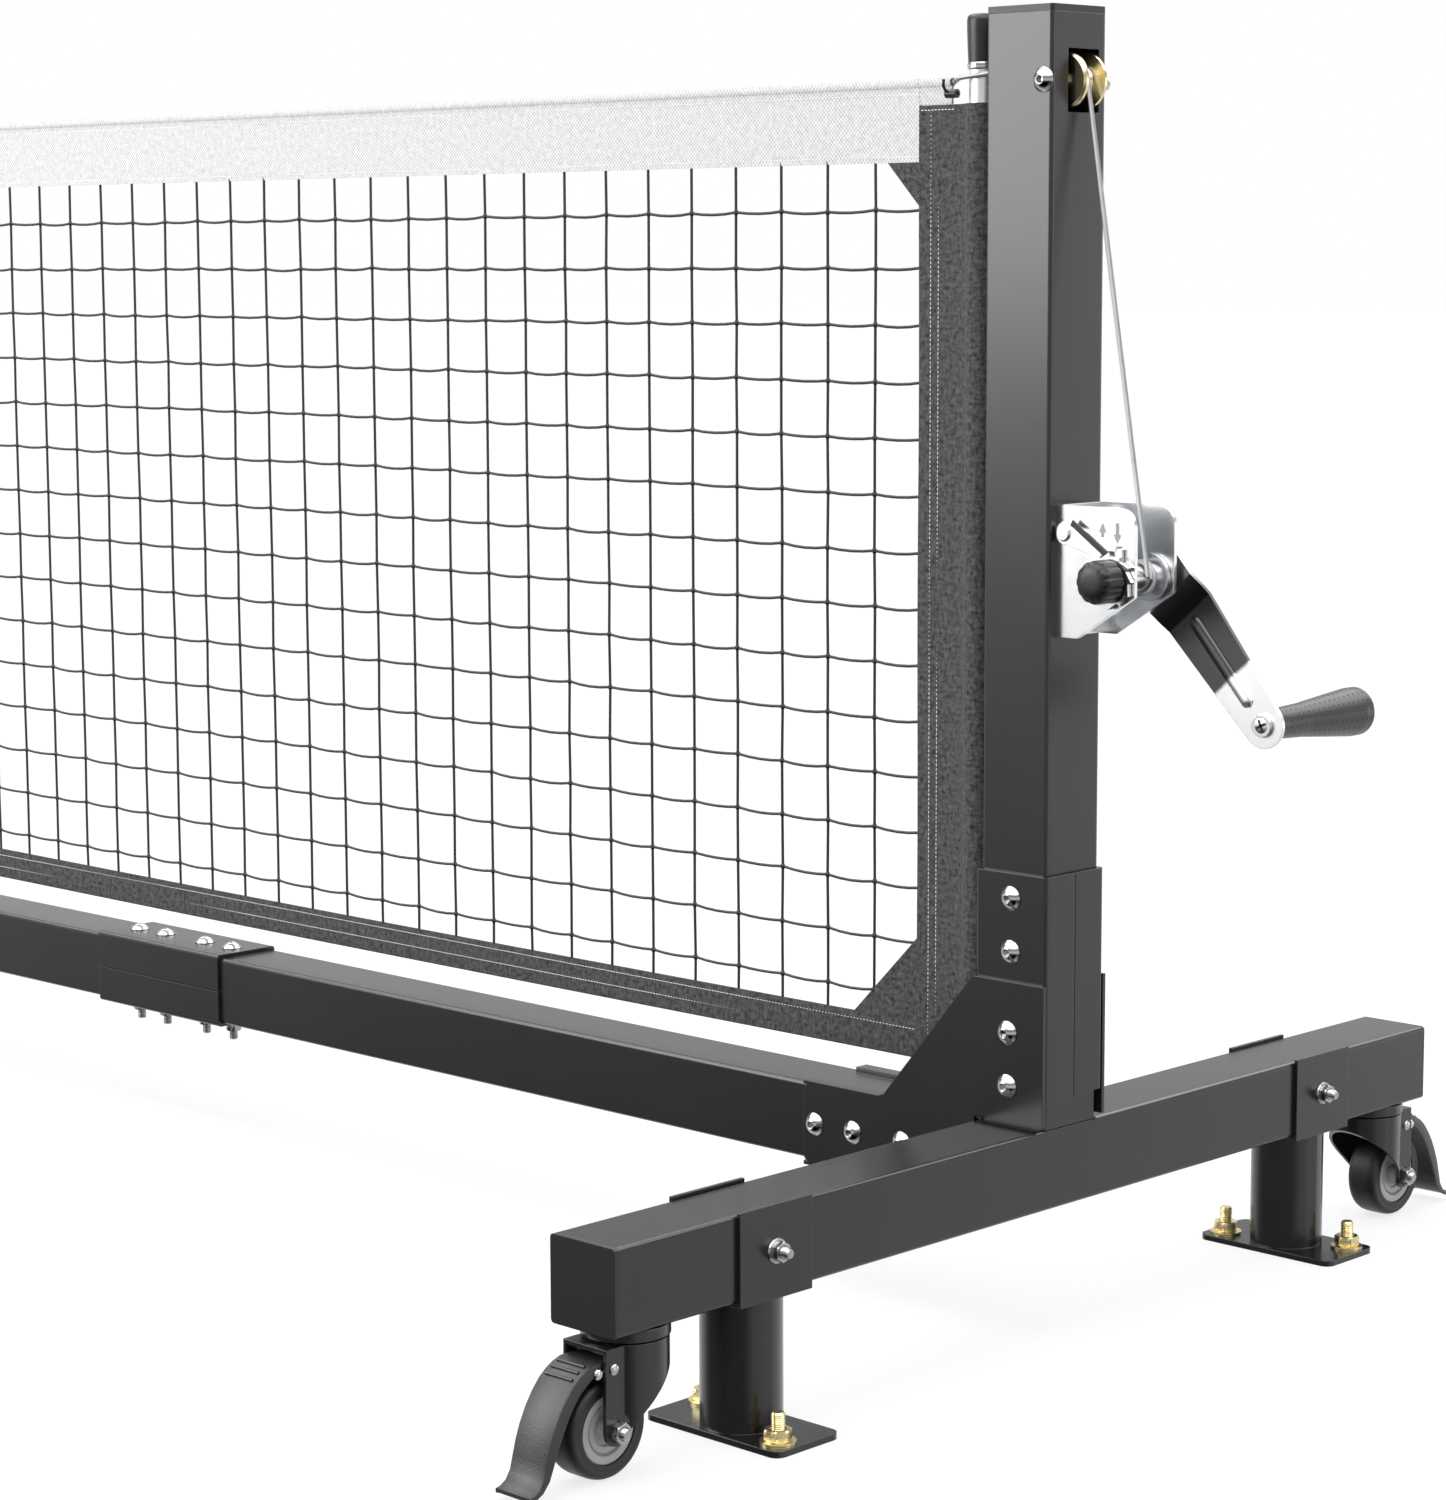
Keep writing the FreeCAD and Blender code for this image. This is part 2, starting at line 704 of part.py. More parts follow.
def stands():
    for side in SIDES:
        keep(group("stands", [stand(end, side) for end in ENDS]), f"anchor_stands_{side}")


def stand_bolts():
    """A bolt across each saddle, its head inboard and its flanged nut outboard."""
    bolts = []
    nuts = []
    for end, turn in ENDS.items():
        for sign in SIDES.values():
            y = f"{sign} * stand_offset"
            grip = "tube_side + 2 * saddle_wall"
            tail = "nut_height + 6"
            shank_x = end_x(end, f"{POST_X} + ({tail}) / 2")
            shank = rod("shank", "bolt_radius", f"{grip} + {tail}", (shank_x, y, BEAM_MID), "X")
            head_x = end_x(end, "-tube_side - saddle_wall - nut_height / 2")
            head = hexagon("head", "nut_radius", "nut_height", (head_x, y, BEAM_MID), "X")
            bolts.append(join("cross_bolt", [shank, head]))
            nut_x = end_x(end, "saddle_wall + nut_height / 2")
            rim_x = end_x(end, "saddle_wall + 0.75")
            nut = hexagon("nut", "nut_radius", "nut_height", (nut_x, y, BEAM_MID), "X")
            rim = rod("rim", "head_radius", "1.5", (rim_x, y, BEAM_MID), "X")
            thread = rod("thread", "bolt_radius + nut_slack", "4 * nut_height", (nut_x, y, BEAM_MID), "X")
            nuts.append(cut("flange_nut", join("nut", [nut, rim]), [thread]))
    keep(group("cross_bolts", bolts), "anchor_cross_bolts")
    keep(group("cross_nuts", nuts), "anchor_cross_nuts")


def floor_bolts():
    """Studs that hold the plates down, cut off level with the floor."""
    studs = []
    nuts = []
    washers = []
    for end in ENDS:
        for side in SIDES:
            for x, y in floor_bolt_places(end, side):
                stud_at = (x, y, "floor_bolt_top / 2")
                studs.append(rod("stud", "floor_bolt_radius", "floor_bolt_top", stud_at, "Z"))
                washer_z = "plate_thick + washer_thick / 2"
                bore = "floor_bolt_radius + nut_slack"
                disc = rod("washer", "washer_radius", "washer_thick", (x, y, washer_z), "Z")
                eye = rod("eye", bore, "4 * washer_thick", (x, y, washer_z), "Z")
                washers.append(cut("washer", disc, [eye]))
                nut_z = "plate_thick + washer_thick + floor_nut_height / 2"
                blank = hexagon("floor_nut", "floor_nut_radius", "floor_nut_height", (x, y, nut_z), "Z")
                thread = rod("thread", bore, "2 * floor_nut_height", (x, y, nut_z), "Z")
                nuts.append(cut("floor_nut", blank, [thread]))
    keep(group("floor_bolts", studs), "floor_bolts")
    keep(group("floor_nuts", nuts), "floor_nuts")
    keep(group("floor_washers", washers), "floor_washers")


# ---------------------------------------------------------------- casters

AXLE_Z = "wheel_radius + wheel_lift"


def caster_y(side, outboard):
    return f"{SIDES[side]} * (swivel_offset + ({outboard}))"


def collars():
    """The fixed top of each caster: a round collar with its kingpin and the pin's head."""
    pieces = []
    for end in ENDS:
        for side in SIDES:
            x = end_x(end, POST_X)
            y = caster_y(side, "0")
            low = "fork_top + collar_gap"
            high = "frame_base"
            collar = rod("collar", "collar_radius", f"{high} - ({low})", (x, y, f"({high} + {low}) / 2"), "Z")
            pin_low = "fork_top - 2 * fork_wall - 2"
            pin_at = (x, y, f"({high} + {pin_low}) / 2")
            pin = rod("kingpin", "kingpin_radius", f"{high} - ({pin_low})", pin_at, "Z")
            head_z = "fork_top - fork_wall - 0.3 - 1.5"
            head = rod("kingpin_head", "kingpin_radius + 3", "3", (x, y, head_z), "Z")
            pieces.append(join("collar", [collar, pin, head]))
    keep(group("collars", pieces), "caster_collars")


FORK_SWEEP = 46          # how far the fork's rear lower edge climbs from the axle's height


def fork(end, side):
    """A pressed fork: round behind, flat cheeks in front, cut away below."""
    x = end_x(end, POST_X)
    turn = SIDES[side]
    low = f"{AXLE_Z} - fork_tip_radius"
    tall = f"fork_top - ({low})"
    middle = f"(fork_top + {low}) / 2"
    nose = "fork_nose + fork_tip_radius"
    drum = rod("fork_drum", "fork_round", tall, (x, caster_y(side, "0"), middle), "Z")
    cheeks = block("fork_cheeks", ("fork_width", nose, tall), (x, caster_y(side, f"({nose}) / 2"), middle))
    outer = join("fork_outer", [drum, cheeks])
    inner_z = f"{middle} - fork_wall"
    drum_room = rod("drum_room", "fork_round - fork_wall", tall, (x, caster_y(side, "0"), inner_z), "Z")
    cheek_size = ("fork_width - 2 * fork_wall", f"2 * ({nose})", tall)
    cheek_room = block("cheek_room", cheek_size, (x, caster_y(side, nose), inner_z))
    shell = cut("fork_shell", outer, [join("fork_room", [drum_room, cheek_room])])
    points = [
        (f"{turn} * -(fork_round + 2)", "fork_top + 2"),
        (f"{turn} * fork_nose", "fork_top + 2"),
    ]
    for degrees in range(0, 181, 30):
        across = math.cos(math.radians(degrees))
        down = math.sin(math.radians(degrees))
        tip_y = f"{turn} * (trail + fork_tip_radius * {across:.4f})"
        points.append((tip_y, f"{AXLE_Z} - fork_tip_radius * {down:.4f}"))
    sweep = "(trail - fork_tip_radius + fork_round + 2)"
    for share in (0.18, 0.38, 0.58, 0.78, 1.0):
        rise = FORK_SWEEP * share ** 0.85
        points.append((f"{turn} * (trail - fork_tip_radius - {sweep} * {share})", f"{AXLE_Z} + {rise:.2f}"))
    side_cut = plate("fork_side", "YZ_Plane", points, "3 * fork_round", (x, caster_y(side, "0"), "0"))
    pressed = common("fork", shell, side_cut)
    axle_hole = rod("hole", "axle_radius + 0.1", "2 * fork_round", (x, caster_y(side, "trail"), AXLE_Z), "X")
    pin_at = (x, caster_y(side, "0"), "fork_top")
    pin_hole = rod("hole", "kingpin_radius + run_slack", "4 * fork_wall", pin_at, "Z")
    pivot = (x, caster_y(side, "pedal_pivot_out"), "pedal_pivot_up")
    pedal_hole = rod("hole", "pedal_pin_radius + 0.1", "2 * fork_round", pivot, "X")
    return cut("fork", pressed, [axle_hole, pin_hole, pedal_hole])


def hub(x, y):
    """A stepped wheel centre with a long boss, bored for its axle."""
    disc = rod("hub_disc", "hub_radius", "hub_width", (x, y, AXLE_Z), "X")
    recesses = []
    for way in (-1, 1):
        recess_at = (f"{x} + {way} * hub_width / 2", y, AXLE_Z)
        recesses.append(rod("hub_recess", "hub_radius - 4", "hub_width / 4", recess_at, "X"))
    dished = cut("hub", disc, recesses)
    boss = rod("hub_boss", "boss_radius", "fork_width - 2 * fork_wall - 0.8", (x, y, AXLE_Z), "X")
    bore = rod("hub_bore", "axle_radius + run_slack", "2 * fork_width", (x, y, AXLE_Z), "X")
    return cut("hub", join("hub", [dished, boss]), [bore])


def tyre(x, y):
    """A solid tyre with rounded shoulders."""
    half = "tyre_width / 2"
    points = [
        ("hub_radius", f"-{half}"),
        ("wheel_radius - 3", f"-{half}"),
        ("wheel_radius", f"-{half} + 4"),
        ("wheel_radius", f"{half} - 4"),
        ("wheel_radius - 3", half),
        ("hub_radius", half),
    ]
    return turned("tyre", points, (x, y, AXLE_Z), TURNS["X"])


def axle_set(end, side):
    """A wheel bolt with its nut outboard, and the pedal's riveted pin."""
    x = end_x(end, POST_X)
    y = caster_y(side, "trail")
    tail = "nut_height + 3"
    shank_x = end_x(end, f"{POST_X} + ({tail}) / 2")
    shank = rod("axle", "axle_radius", f"fork_width + {tail}", (shank_x, y, AXLE_Z), "X")
    head_at = (end_x(end, f"{POST_X} - fork_width / 2 - 2.5"), y, AXLE_Z)
    head = hexagon("head", "nut_radius", "5", head_at, "X")
    bolt = join("axle_bolt", [shank, head])
    nut_at = (end_x(end, f"{POST_X} + fork_width / 2 + nut_height / 2"), y, AXLE_Z)
    blank = hexagon("nut", "nut_radius", "nut_height", nut_at, "X")
    nut = cut("nut", blank, [rod("thread", "axle_radius + nut_slack", "4 * nut_height", nut_at, "X")])
    pin_at = (x, caster_y(side, "pedal_pivot_out"), "pedal_pivot_up")
    pin = rod("pin", "pedal_pin_radius", "fork_width + 1", pin_at, "X")
    heads = []
    for way in (-1, 1):
        head_x = f"{x} + {way} * (fork_width / 2 + 1)"
        heads.append(rod("pin_head", "pedal_pin_radius + 1.5", "2", (head_x, pin_at[1], pin_at[2]), "X"))
    return group("axle_set", [bolt, nut, join("pedal_pin", [pin] + heads)])


def pedal(end, side):
    """A bent strap over the tyre, hinged between the fork's cheeks, with a lip for the foot."""
    x = end_x(end, POST_X)
    turn = SIDES[side]
    up = "pedal_pivot_up"
    outer = [(26, 6), (44, 6), (56, 0.5), (68, -11), (79, -28), (86, -46), (90, -62)]
    lip = [("pedal_tip_out", "pedal_pivot_up - 69"), ("pedal_tip_out", "pedal_pivot_up - 69 - pedal_thick")]
    inner = [(87, -66), (82.5, -46), (75.5, -29), (65, -13.5), (54, -3), (44, 1), (26, 1)]
    points = [(f"{turn} * {out}", f"{up} + {rise}") for out, rise in outer]
    points += [(f"{turn} * {out}", rise) for out, rise in lip]
    points += [(f"{turn} * {out}", f"{up} + {rise}") for out, rise in inner]
    strap = plate("pedal_strap", "YZ_Plane", points, "pedal_width", (x, caster_y(side, "0"), "0"))
    pivot = (x, caster_y(side, "pedal_pivot_out"), up)
    boss = rod("pedal_boss", "pedal_boss_radius", "pedal_width", pivot, "X")
    bore = rod("pedal_bore", "pedal_pin_radius + run_slack", "2 * pedal_width", pivot, "X")
    return cut("pedal", join("pedal", [strap, boss]), [bore])


def casters():
    collars()
    for end in ENDS:
        for side in SIDES:
            place_name = f"{end}_{side}"
            x = end_x(end, POST_X)
            y = caster_y(side, "trail")
            keep(fork(end, side), f"fork_{place_name}")
            keep(hub(x, y), f"hub_{place_name}")
            keep(tyre(x, y), f"tyre_{place_name}")
            keep(axle_set(end, side), f"axle_set_{place_name}")
            keep(pedal(end, side), f"brake_pedal_{place_name}")


# ---------------------------------------------------------------- pulley

PULLEY_AT = (end_x("winch", "-pulley_inset"), "pulley_side", "pulley_height")


def pulley():
    """A grooved brass wheel on a bolt across the post, kept in place by two spacers."""
    half = "pulley_width / 2"
    points = [
        ("axle_radius + run_slack", f"-{half}"),
        ("pulley_radius - 1.5", f"-{half}"),
        ("pulley_radius", f"-{half} + 1.5"),
        ("pulley_radius", f"-{half} + 4"),
        ("pulley_groove + 1", f"-{half} + 6"),
        ("pulley_groove", f"-{half} + 8"),
        ("pulley_groove", f"{half} - 8"),
        ("pulley_groove + 1", f"{half} - 6"),
        ("pulley_radius", f"{half} - 4"),
        ("pulley_radius", f"{half} - 1.5"),
        ("pulley_radius - 1.5", half),
        ("axle_radius + run_slack", half),
    ]
    keep(turned("pulley", points, PULLEY_AT, TURNS["Y"]), "pulley")
    x, y, z = PULLEY_AT
    grip = "tube_side"
    tail = "nut_height + 4"
    shank = rod("shank", "axle_radius", f"{grip} + {tail}", (x, f"({tail}) / 2", z), "Y")
    bolt = join("pulley_bolt", [shank, dome((x, "-tube_side / 2", z), "Y")])
    seat = (x, "(tube_side + nut_height) / 2", z)
    blank = hexagon("nut", "nut_radius", "nut_height", seat, "Y")
    nut = cut("nut", blank, [rod("thread", "axle_radius + nut_slack", "4 * nut_height", seat, "Y")])
    spacers = []
    for way in (-1, 1):
        wall = f"{way} * (tube_side / 2 - tube_wall - 0.2)"
        cheek = f"pulley_side + {way} * (pulley_width / 2 + 0.3)"
        long = f"{way} * (({wall}) - ({cheek}))"
        middle = (x, f"(({wall}) + ({cheek})) / 2", z)
        tube = rod("spacer", "axle_radius + 2", long, middle, "Y")
        eye = rod("eye", "axle_radius + nut_slack", "2 * tube_side", middle, "Y")
        spacers.append(cut("spacer", tube, [eye]))
    keep(group("pulley_axle", [bolt, nut] + spacers), "pulley_axle")


# ---------------------------------------------------------------- winch

DRUM_X = end_x("winch", "winch_out")
DRUM_AT = (DRUM_X, WINCH_MID, "winch_height")
PAWL_AT = (end_x("winch", "pawl_out"), "winch_height + pawl_up")


def winch_frame():
    """A U of folded plate on the post: a base against the post and two cheeks."""
    points = [
        ("0", "winch_bottom"),
        ("19", "winch_bottom"),
        ("winch_reach", "winch_bottom + 32"),
        ("winch_reach", "winch_top"),
        ("0", "winch_top"),
    ]
    at = (end_x("winch", "0"), WINCH_MID, "0")
    shell = plate("winch_frame", "XZ_Plane", points, "winch_front + winch_back", at)
    reach = value("winch_reach")
    top = value("winch_top")
    picks = lambda edge: runs_along(edge, "y") and near(edge, reach, top, "xz")
    round_edges(shell, "winch_corner", picks)
    room_size = ("2 * winch_reach", "winch_front + winch_back - 2 * winch_wall", "2 * winch_top")
    room_at = (end_x("winch", "winch_wall + winch_reach"), WINCH_MID, "winch_height")
    room = block("winch_room", room_size, room_at)
    across = "4 * winch_back"
    tools = [room, rod("hole", "shaft_radius + run_slack", across, DRUM_AT, "Y")]
    pawl_hole = (PAWL_AT[0], "-winch_front", PAWL_AT[1])
    tools.append(rod("hole", "bolt_radius - 1 + bolt_slack", "4 * winch_wall", pawl_hole, "Y"))
    for height in WINCH_SCREWS:
        screw_at = (end_x("winch", "0"), WINCH_MID, height)
        tools.append(rod("hole", "bolt_radius + bolt_slack", "8 * winch_wall", screw_at, "X"))
    keep(cut("winch_frame", shell, tools), "winch_frame")


def winch_fasteners():
    """Two screws through the base into the post, and the rivet that the pawl turns on."""
    pieces = []
    for height in WINCH_SCREWS:
        x = end_x("winch", "-tube_wall - 4 + (tube_wall + 4 + winch_wall) / 2")
        shank = rod("screw", "bolt_radius", "tube_wall + 4 + winch_wall", (x, WINCH_MID, height), "X")
        head_at = (end_x("winch", "winch_wall + 2"), WINCH_MID, height)
        head = hexagon("screw_head", "nut_radius", "4", head_at, "X")
        pieces.append(join("winch_screw", [shank, head]))
    x, z = PAWL_AT
    inner = "-winch_front + winch_wall + 1"
    outer = "-winch_front - pawl_thick - 0.8"
    rivet_at = (x, f"(({inner}) + ({outer})) / 2", z)
    rivet = rod("rivet", "bolt_radius - 1", f"({inner}) - ({outer})", rivet_at, "Y")
    heads = [rod("rivet_head", "bolt_radius + 1", "1.5", (x, f"{inner} + 0.45", z), "Y")]
    heads.append(rod("rivet_head", "bolt_radius + 1", "1.5", (x, f"{outer} - 0.75", z), "Y"))
    pieces.append(join("rivet", [rivet] + heads))
    keep(group("winch_fasteners", pieces), "winch_fasteners")


def drum():
    """The rope drum on its shaft, from the knob in front to the crank behind."""
    inside = "winch_front + winch_back - 2 * winch_wall - 1"
    front = "-winch_front - ratchet_thick - 1.5 - knob_thick + 3"
    back = "winch_back + crank_gap + crank_plate + 2"
    shaft_long = f"({back}) - ({front})"
    shaft_at = (DRUM_X, f"(({back}) + ({front})) / 2", "winch_height")
    shaft = rod("shaft", "shaft_radius", shaft_long, shaft_at, "Y")
    barrel = rod("barrel", "drum_radius", inside, DRUM_AT, "Y")
    flanges = []
    for way in (-1, 1):
        y = f"{WINCH_MID} + {way} * (({inside}) / 2 - 1.5)"
        flanges.append(rod("drum_flange", "drum_flange", "3", (DRUM_X, y, "winch_height"), "Y"))
    keep(join("drum", [shaft, barrel] + flanges), "winch_drum")


RATCHET_TEETH = 12


def ratchet():
    """A toothed wheel in front of the cheek; each tooth is a leaning triangle."""
    teeth = []
    for index in range(RATCHET_TEETH):
        for radius, share in (("ratchet_radius", 0), ("(ratchet_radius - 3)", 0.85)):
            angle = 2 * math.pi / RATCHET_TEETH * (index + share)
            teeth.append((f"{radius} * {math.cos(angle):.6f}", f"{radius} * {math.sin(angle):.6f}"))
    y = "-winch_front - 0.7 - ratchet_thick / 2"
    wheel = plate("ratchet", "XZ_Plane", teeth, "ratchet_thick", (DRUM_X, y, "winch_height"))
    bore = rod("ratchet_bore", "shaft_radius", "4 * ratchet_thick", (DRUM_X, y, "winch_height"), "Y")
    keep(cut("ratchet", wheel, [bore]), "ratchet_wheel")


def knob():
    """A round plastic knob on the front end of the shaft, with a domed face and a blind bore."""
    thick = "knob_thick"
    points = [
        ("shaft_radius", "0"),
        ("knob_radius - 1", "0"),
        ("knob_radius", "1"),
        ("knob_radius", f"{thick} - 3"),
        ("knob_radius - 2.5", f"{thick} - 0.8"),
        ("knob_radius - 8", thick),
        ("0", thick),
        ("0", f"{thick} - 3"),
        ("shaft_radius", f"{thick} - 3"),
    ]
    y = "-winch_front - ratchet_thick - 1.5"
    keep(turned("knob", points, (DRUM_X, y, "winch_height"), ((1, 0, 0), 90)), "winch_knob")


CRANK_FACE = "winch_back + crank_gap"


def crank_arm():
    """A flat arm with a step, tapered towards the grip and round at both ends."""
    face = f"({CRANK_FACE})"
    step = "crank_offset"
    wall = "crank_plate"
    side_points = [
        ("-30", face),
        ("16", face),
        ("34", f"{face} + {step}"),
        ("crank_length + crank_wide", f"{face} + {step}"),
        ("crank_length + crank_wide", f"{face} + {step} + {wall}"),
        ("33", f"{face} + {step} + {wall}"),
        ("15", f"{face} + {wall}"),
        ("-30", f"{face} + {wall}"),
    ]
    folded = plate("crank_fold", "XY_Plane", side_points, "2 * crank_wide", ("0", "0", "0"))
    face_points = [
        ("-8", "crank_wide / 2 - 3"),
        ("0", "crank_wide / 2"),
        ("26", "crank_wide / 2"),
        ("crank_length", "crank_narrow / 2"),
        ("crank_length", "-crank_narrow / 2"),
        ("26", "-crank_wide / 2"),
        ("0", "-crank_wide / 2"),
        ("-8", "-crank_wide / 2 + 3"),
    ]
    face_cut = plate("crank_face", "XZ_Plane", face_points, "20 * crank_offset", ("0", "0", "0"))
    round_end = rod("crank_end", "crank_narrow / 2", "20 * crank_offset", ("crank_length", "0", "0"), "Y")
    round_top = rod("crank_top", "crank_wide / 2", "20 * crank_offset", ("0", "0", "0"), "Y")
    arm = common("crank_arm", folded, join("crank_outline", [face_cut, round_end, round_top]))
    tools = [rod("hole", "shaft_radius", "20 * crank_offset", ("0", "0", "0"), "Y")]
    tools.append(rod("hole", "bolt_radius", "20 * crank_offset", ("crank_length", "0", "0"), "Y"))
    arm = cut("crank_arm", arm, tools)
    place(arm, (DRUM_X, "0", "winch_height"), ((0, 1, 0), -SIZES["crank_angle"]))
    bind(arm, "Placement.Rotation.Angle", "-crank_angle")
    keep(arm, "crank_arm")


def crank_point(along_arm):
    """A point on the arm's middle line, by its distance from the shaft."""
    x = f"{DRUM_X} + ({along_arm}) * cos(crank_angle * 1 deg)"
    z = f"winch_height + ({along_arm}) * sin(crank_angle * 1 deg)"
    return x, z


def crank_grip():
    """A flared grip that turns on its screw, and the screw and hub nut that hold the crank together."""
    x, z = crank_point("crank_length")
    start = f"{CRANK_FACE} + crank_offset + crank_plate + 0.4"
    bore = "bolt_radius - 0.5 + run_slack"
    deep = "grip_length - 12"
    points = [
        (bore, "0"),
        ("grip_root", "0"),
        ("grip_root", "grip_length * 0.12"),
        ("grip_root + (grip_end - grip_root) * 0.18", "grip_length * 0.35"),
        ("grip_root + (grip_end - grip_root) * 0.62", "grip_length * 0.62"),
        ("grip_end", "grip_length * 0.86"),
        ("grip_end", "grip_length * 0.94"),
        ("grip_end - 5", "grip_length"),
        ("0", "grip_length"),
        ("0", deep),
        (bore, deep),
    ]
    keep(turned("grip", points, (x, start, z), TURNS["Y"]), "crank_grip")
    front = f"{CRANK_FACE} + crank_offset"
    tip = f"{start} + ({deep}) - 0.5"
    shank_at = (x, f"(({tip}) + ({front})) / 2", z)
    shank = rod("grip_screw", "bolt_radius - 0.5", f"({tip}) - ({front})", shank_at, "Y")
    head = rod("grip_screw_head", "head_radius - 1", "2.5", (x, f"{front} - 1.25", z), "Y")
    nut_y = f"{CRANK_FACE} + crank_plate + 2.5"
    blank = hexagon("hub_nut", "shaft_radius + 5", "5", (DRUM_X, nut_y, "winch_height"), "Y")
    thread = rod("thread", "shaft_radius", "20", (DRUM_X, nut_y, "winch_height"), "Y")
    nut = cut("hub_nut", blank, [thread])
    keep(group("crank_fasteners", [join("grip_screw", [shank, head]), nut]), "crank_fasteners")


def pawl():
    """A flat lever on the front cheek, its tip just clear of the ratchet's teeth."""
    x, z = PAWL_AT
    gap = "ratchet_radius + 0.8"
    points = [
        ("-7", "0"),
        ("-4", "7"),
        ("4", "7"),
        ("winch_out - pawl_out - 4", f"{gap} - pawl_up + 8"),
        ("winch_out - pawl_out + 6", f"{gap} - pawl_up + 3"),
        ("winch_out - pawl_out + 3", f"{gap} - pawl_up"),
        ("winch_out - pawl_out - 4", f"{gap} - pawl_up"),
        ("4", "-7"),
        ("-4", "-7"),
    ]
    y = "-winch_front - 0.4 - pawl_thick / 2"
    lever = plate("pawl", "XZ_Plane", points, "pawl_thick", (x, y, z))
    bore = rod("pawl_bore", "bolt_radius - 1 + run_slack", "4 * pawl_thick", (x, y, z), "Y")
    keep(cut("pawl", lever, [bore]), "pawl")


# ---------------------------------------------------------------- rope


def corner_route(points, radii):
    """Straight runs joined by tangent arcs: one radius at each inner point."""
    vectors = [FreeCAD.Vector(*point) for point in points]
    edges = []
    start = vectors[0]
    for index in range(1, len(vectors) - 1):
        corner = vectors[index]
        back = (vectors[index - 1] - corner).normalize()
        ahead = (vectors[index + 1] - corner).normalize()
        half = back.getAngle(ahead) / 2
        reach = radii[index - 1] / math.tan(half)
        first = corner + back * reach
        last = corner + ahead * reach
        middle = (back + ahead).normalize()
        centre = corner + middle * (radii[index - 1] / math.sin(half))
        top = centre - middle * radii[index - 1]
        edges.append(Part.LineSegment(start, first).toShape())
        edges.append(Part.Arc(first, top, last).toShape())
        start = last
    edges.append(Part.LineSegment(start, vectors[-1]).toShape())
    return Part.Wire(edges)


def rope_tube(points, radii):
    """A round tube along a route, checked against its section times its length."""
    route = corner_route(points, radii)
    first = route.Edges[0]
    direction = first.tangentAt(first.FirstParameter)
    start = first.valueAt(first.FirstParameter)
    ring = Part.Wire(Part.makeCircle(value("rope_radius"), start, direction))
    tube = route.makePipeShell([ring], True, False)
    expected = math.pi * value("rope_radius") ** 2 * route.Length
    print(f"rope {route.Length:.0f} mm long, arcs {radii}, volume off by {tube.Volume / expected - 1:.4f}")
    return tube


def wire_rope():
    """The rope from the drum over the pulley, past the poles and inside the head band."""
    drum_line = value("drum_radius + rope_radius + 0.3")
    wheel_line = value("pulley_groove + rope_radius")
    drum_x, drum_z = value(DRUM_X), value("winch_height")
    wheel_x, side, wheel_z = (value(text) for text in PULLEY_AT)
    # The outer tangent of the drum's and the pulley's rope circles.
    gap = math.hypot(wheel_x - drum_x, wheel_z - drum_z)
    heading = math.atan2(wheel_z - drum_z, wheel_x - drum_x)
    lean = heading - math.acos((drum_line - wheel_line) / gap)
    leave = (drum_x + drum_line * math.cos(lean), side, drum_z + drum_line * math.sin(lean))
    meet_x = wheel_x + wheel_line * math.cos(lean)
    meet_z = wheel_z + wheel_line * math.sin(lean)
    over = wheel_z + wheel_line
    climb = (math.cos(lean + math.pi / 2), math.sin(lean + math.pi / 2))
    rise = (over - meet_z) / climb[1]
    corner = (meet_x + climb[0] * rise, side, over)
    winch_face = value(end_x("winch", "0"))
    far_face = value(end_x("far", "0"))
    pass_y = -value(ROPE_PASS)
    line = value(ROPE_LINE)
    reach = value("head_end")
    pole = value("pole_inset")
    points = [
        leave,
        corner,
        (winch_face - ROPE_TURN, side, over),
        (winch_face - ROPE_CROSS, pass_y, value(ROPE_CROSS_Z)),
        (winch_face - pole - 12.5, pass_y, line + 2),
        (winch_face - reach + 3, 0, line),
        (far_face + reach - 3, 0, line),
        (far_face + pole + 12.5, pass_y, line),
        (far_face - 14, pass_y, line),
    ]
    radii = [wheel_line, 22, 22, 12, 10, 10, 14]
    item = doc.addObject("Part::Feature", "wire_rope")
    item.Shape = rope_tube(points, radii)
    keep(item, "wire_rope")


def rope_turns():
    """The turns of rope on the drum, as one ring beside the rope's last turn."""
    inner = "drum_radius + 0.3"
    width = "5 * rope_radius"
    centre = (DRUM_X, f"pulley_side + rope_radius + 0.4 + {width} / 2", "winch_height")
    ring = rod("rope_ring", f"{inner} + 2 * rope_radius", width, centre, "Y")
    keep(cut("rope_ring", ring, [rod("rope_eye", inner, f"3 * {width}", centre, "Y")]), "rope_turns")


def ferrules():
    """The crimped stop outside the far post, and the small clip beside the winch-end pole."""
    stop_at = (end_x("far", "8"), f"-({ROPE_PASS})", ROPE_LINE)
    stop = rod("stop", "6", "15", stop_at, "X")
    stop = cut("stop", stop, [rod("eye", "rope_radius + nut_slack", "60", stop_at, "X")])
    clips = [stop]
    for end in ENDS:
        clip_at = (end_x(end, "-pole_inset - 25"), "-6", "net_top - 12")
        clip = rod("clip", "3.2", "10", clip_at, "X")
        clips.append(cut("clip", clip, [rod("eye", "1.2", "60", clip_at, "X")]))
    keep(group("rope_ferrules", clips), "rope_ferrules")


# ---------------------------------------------------------------- net and poles


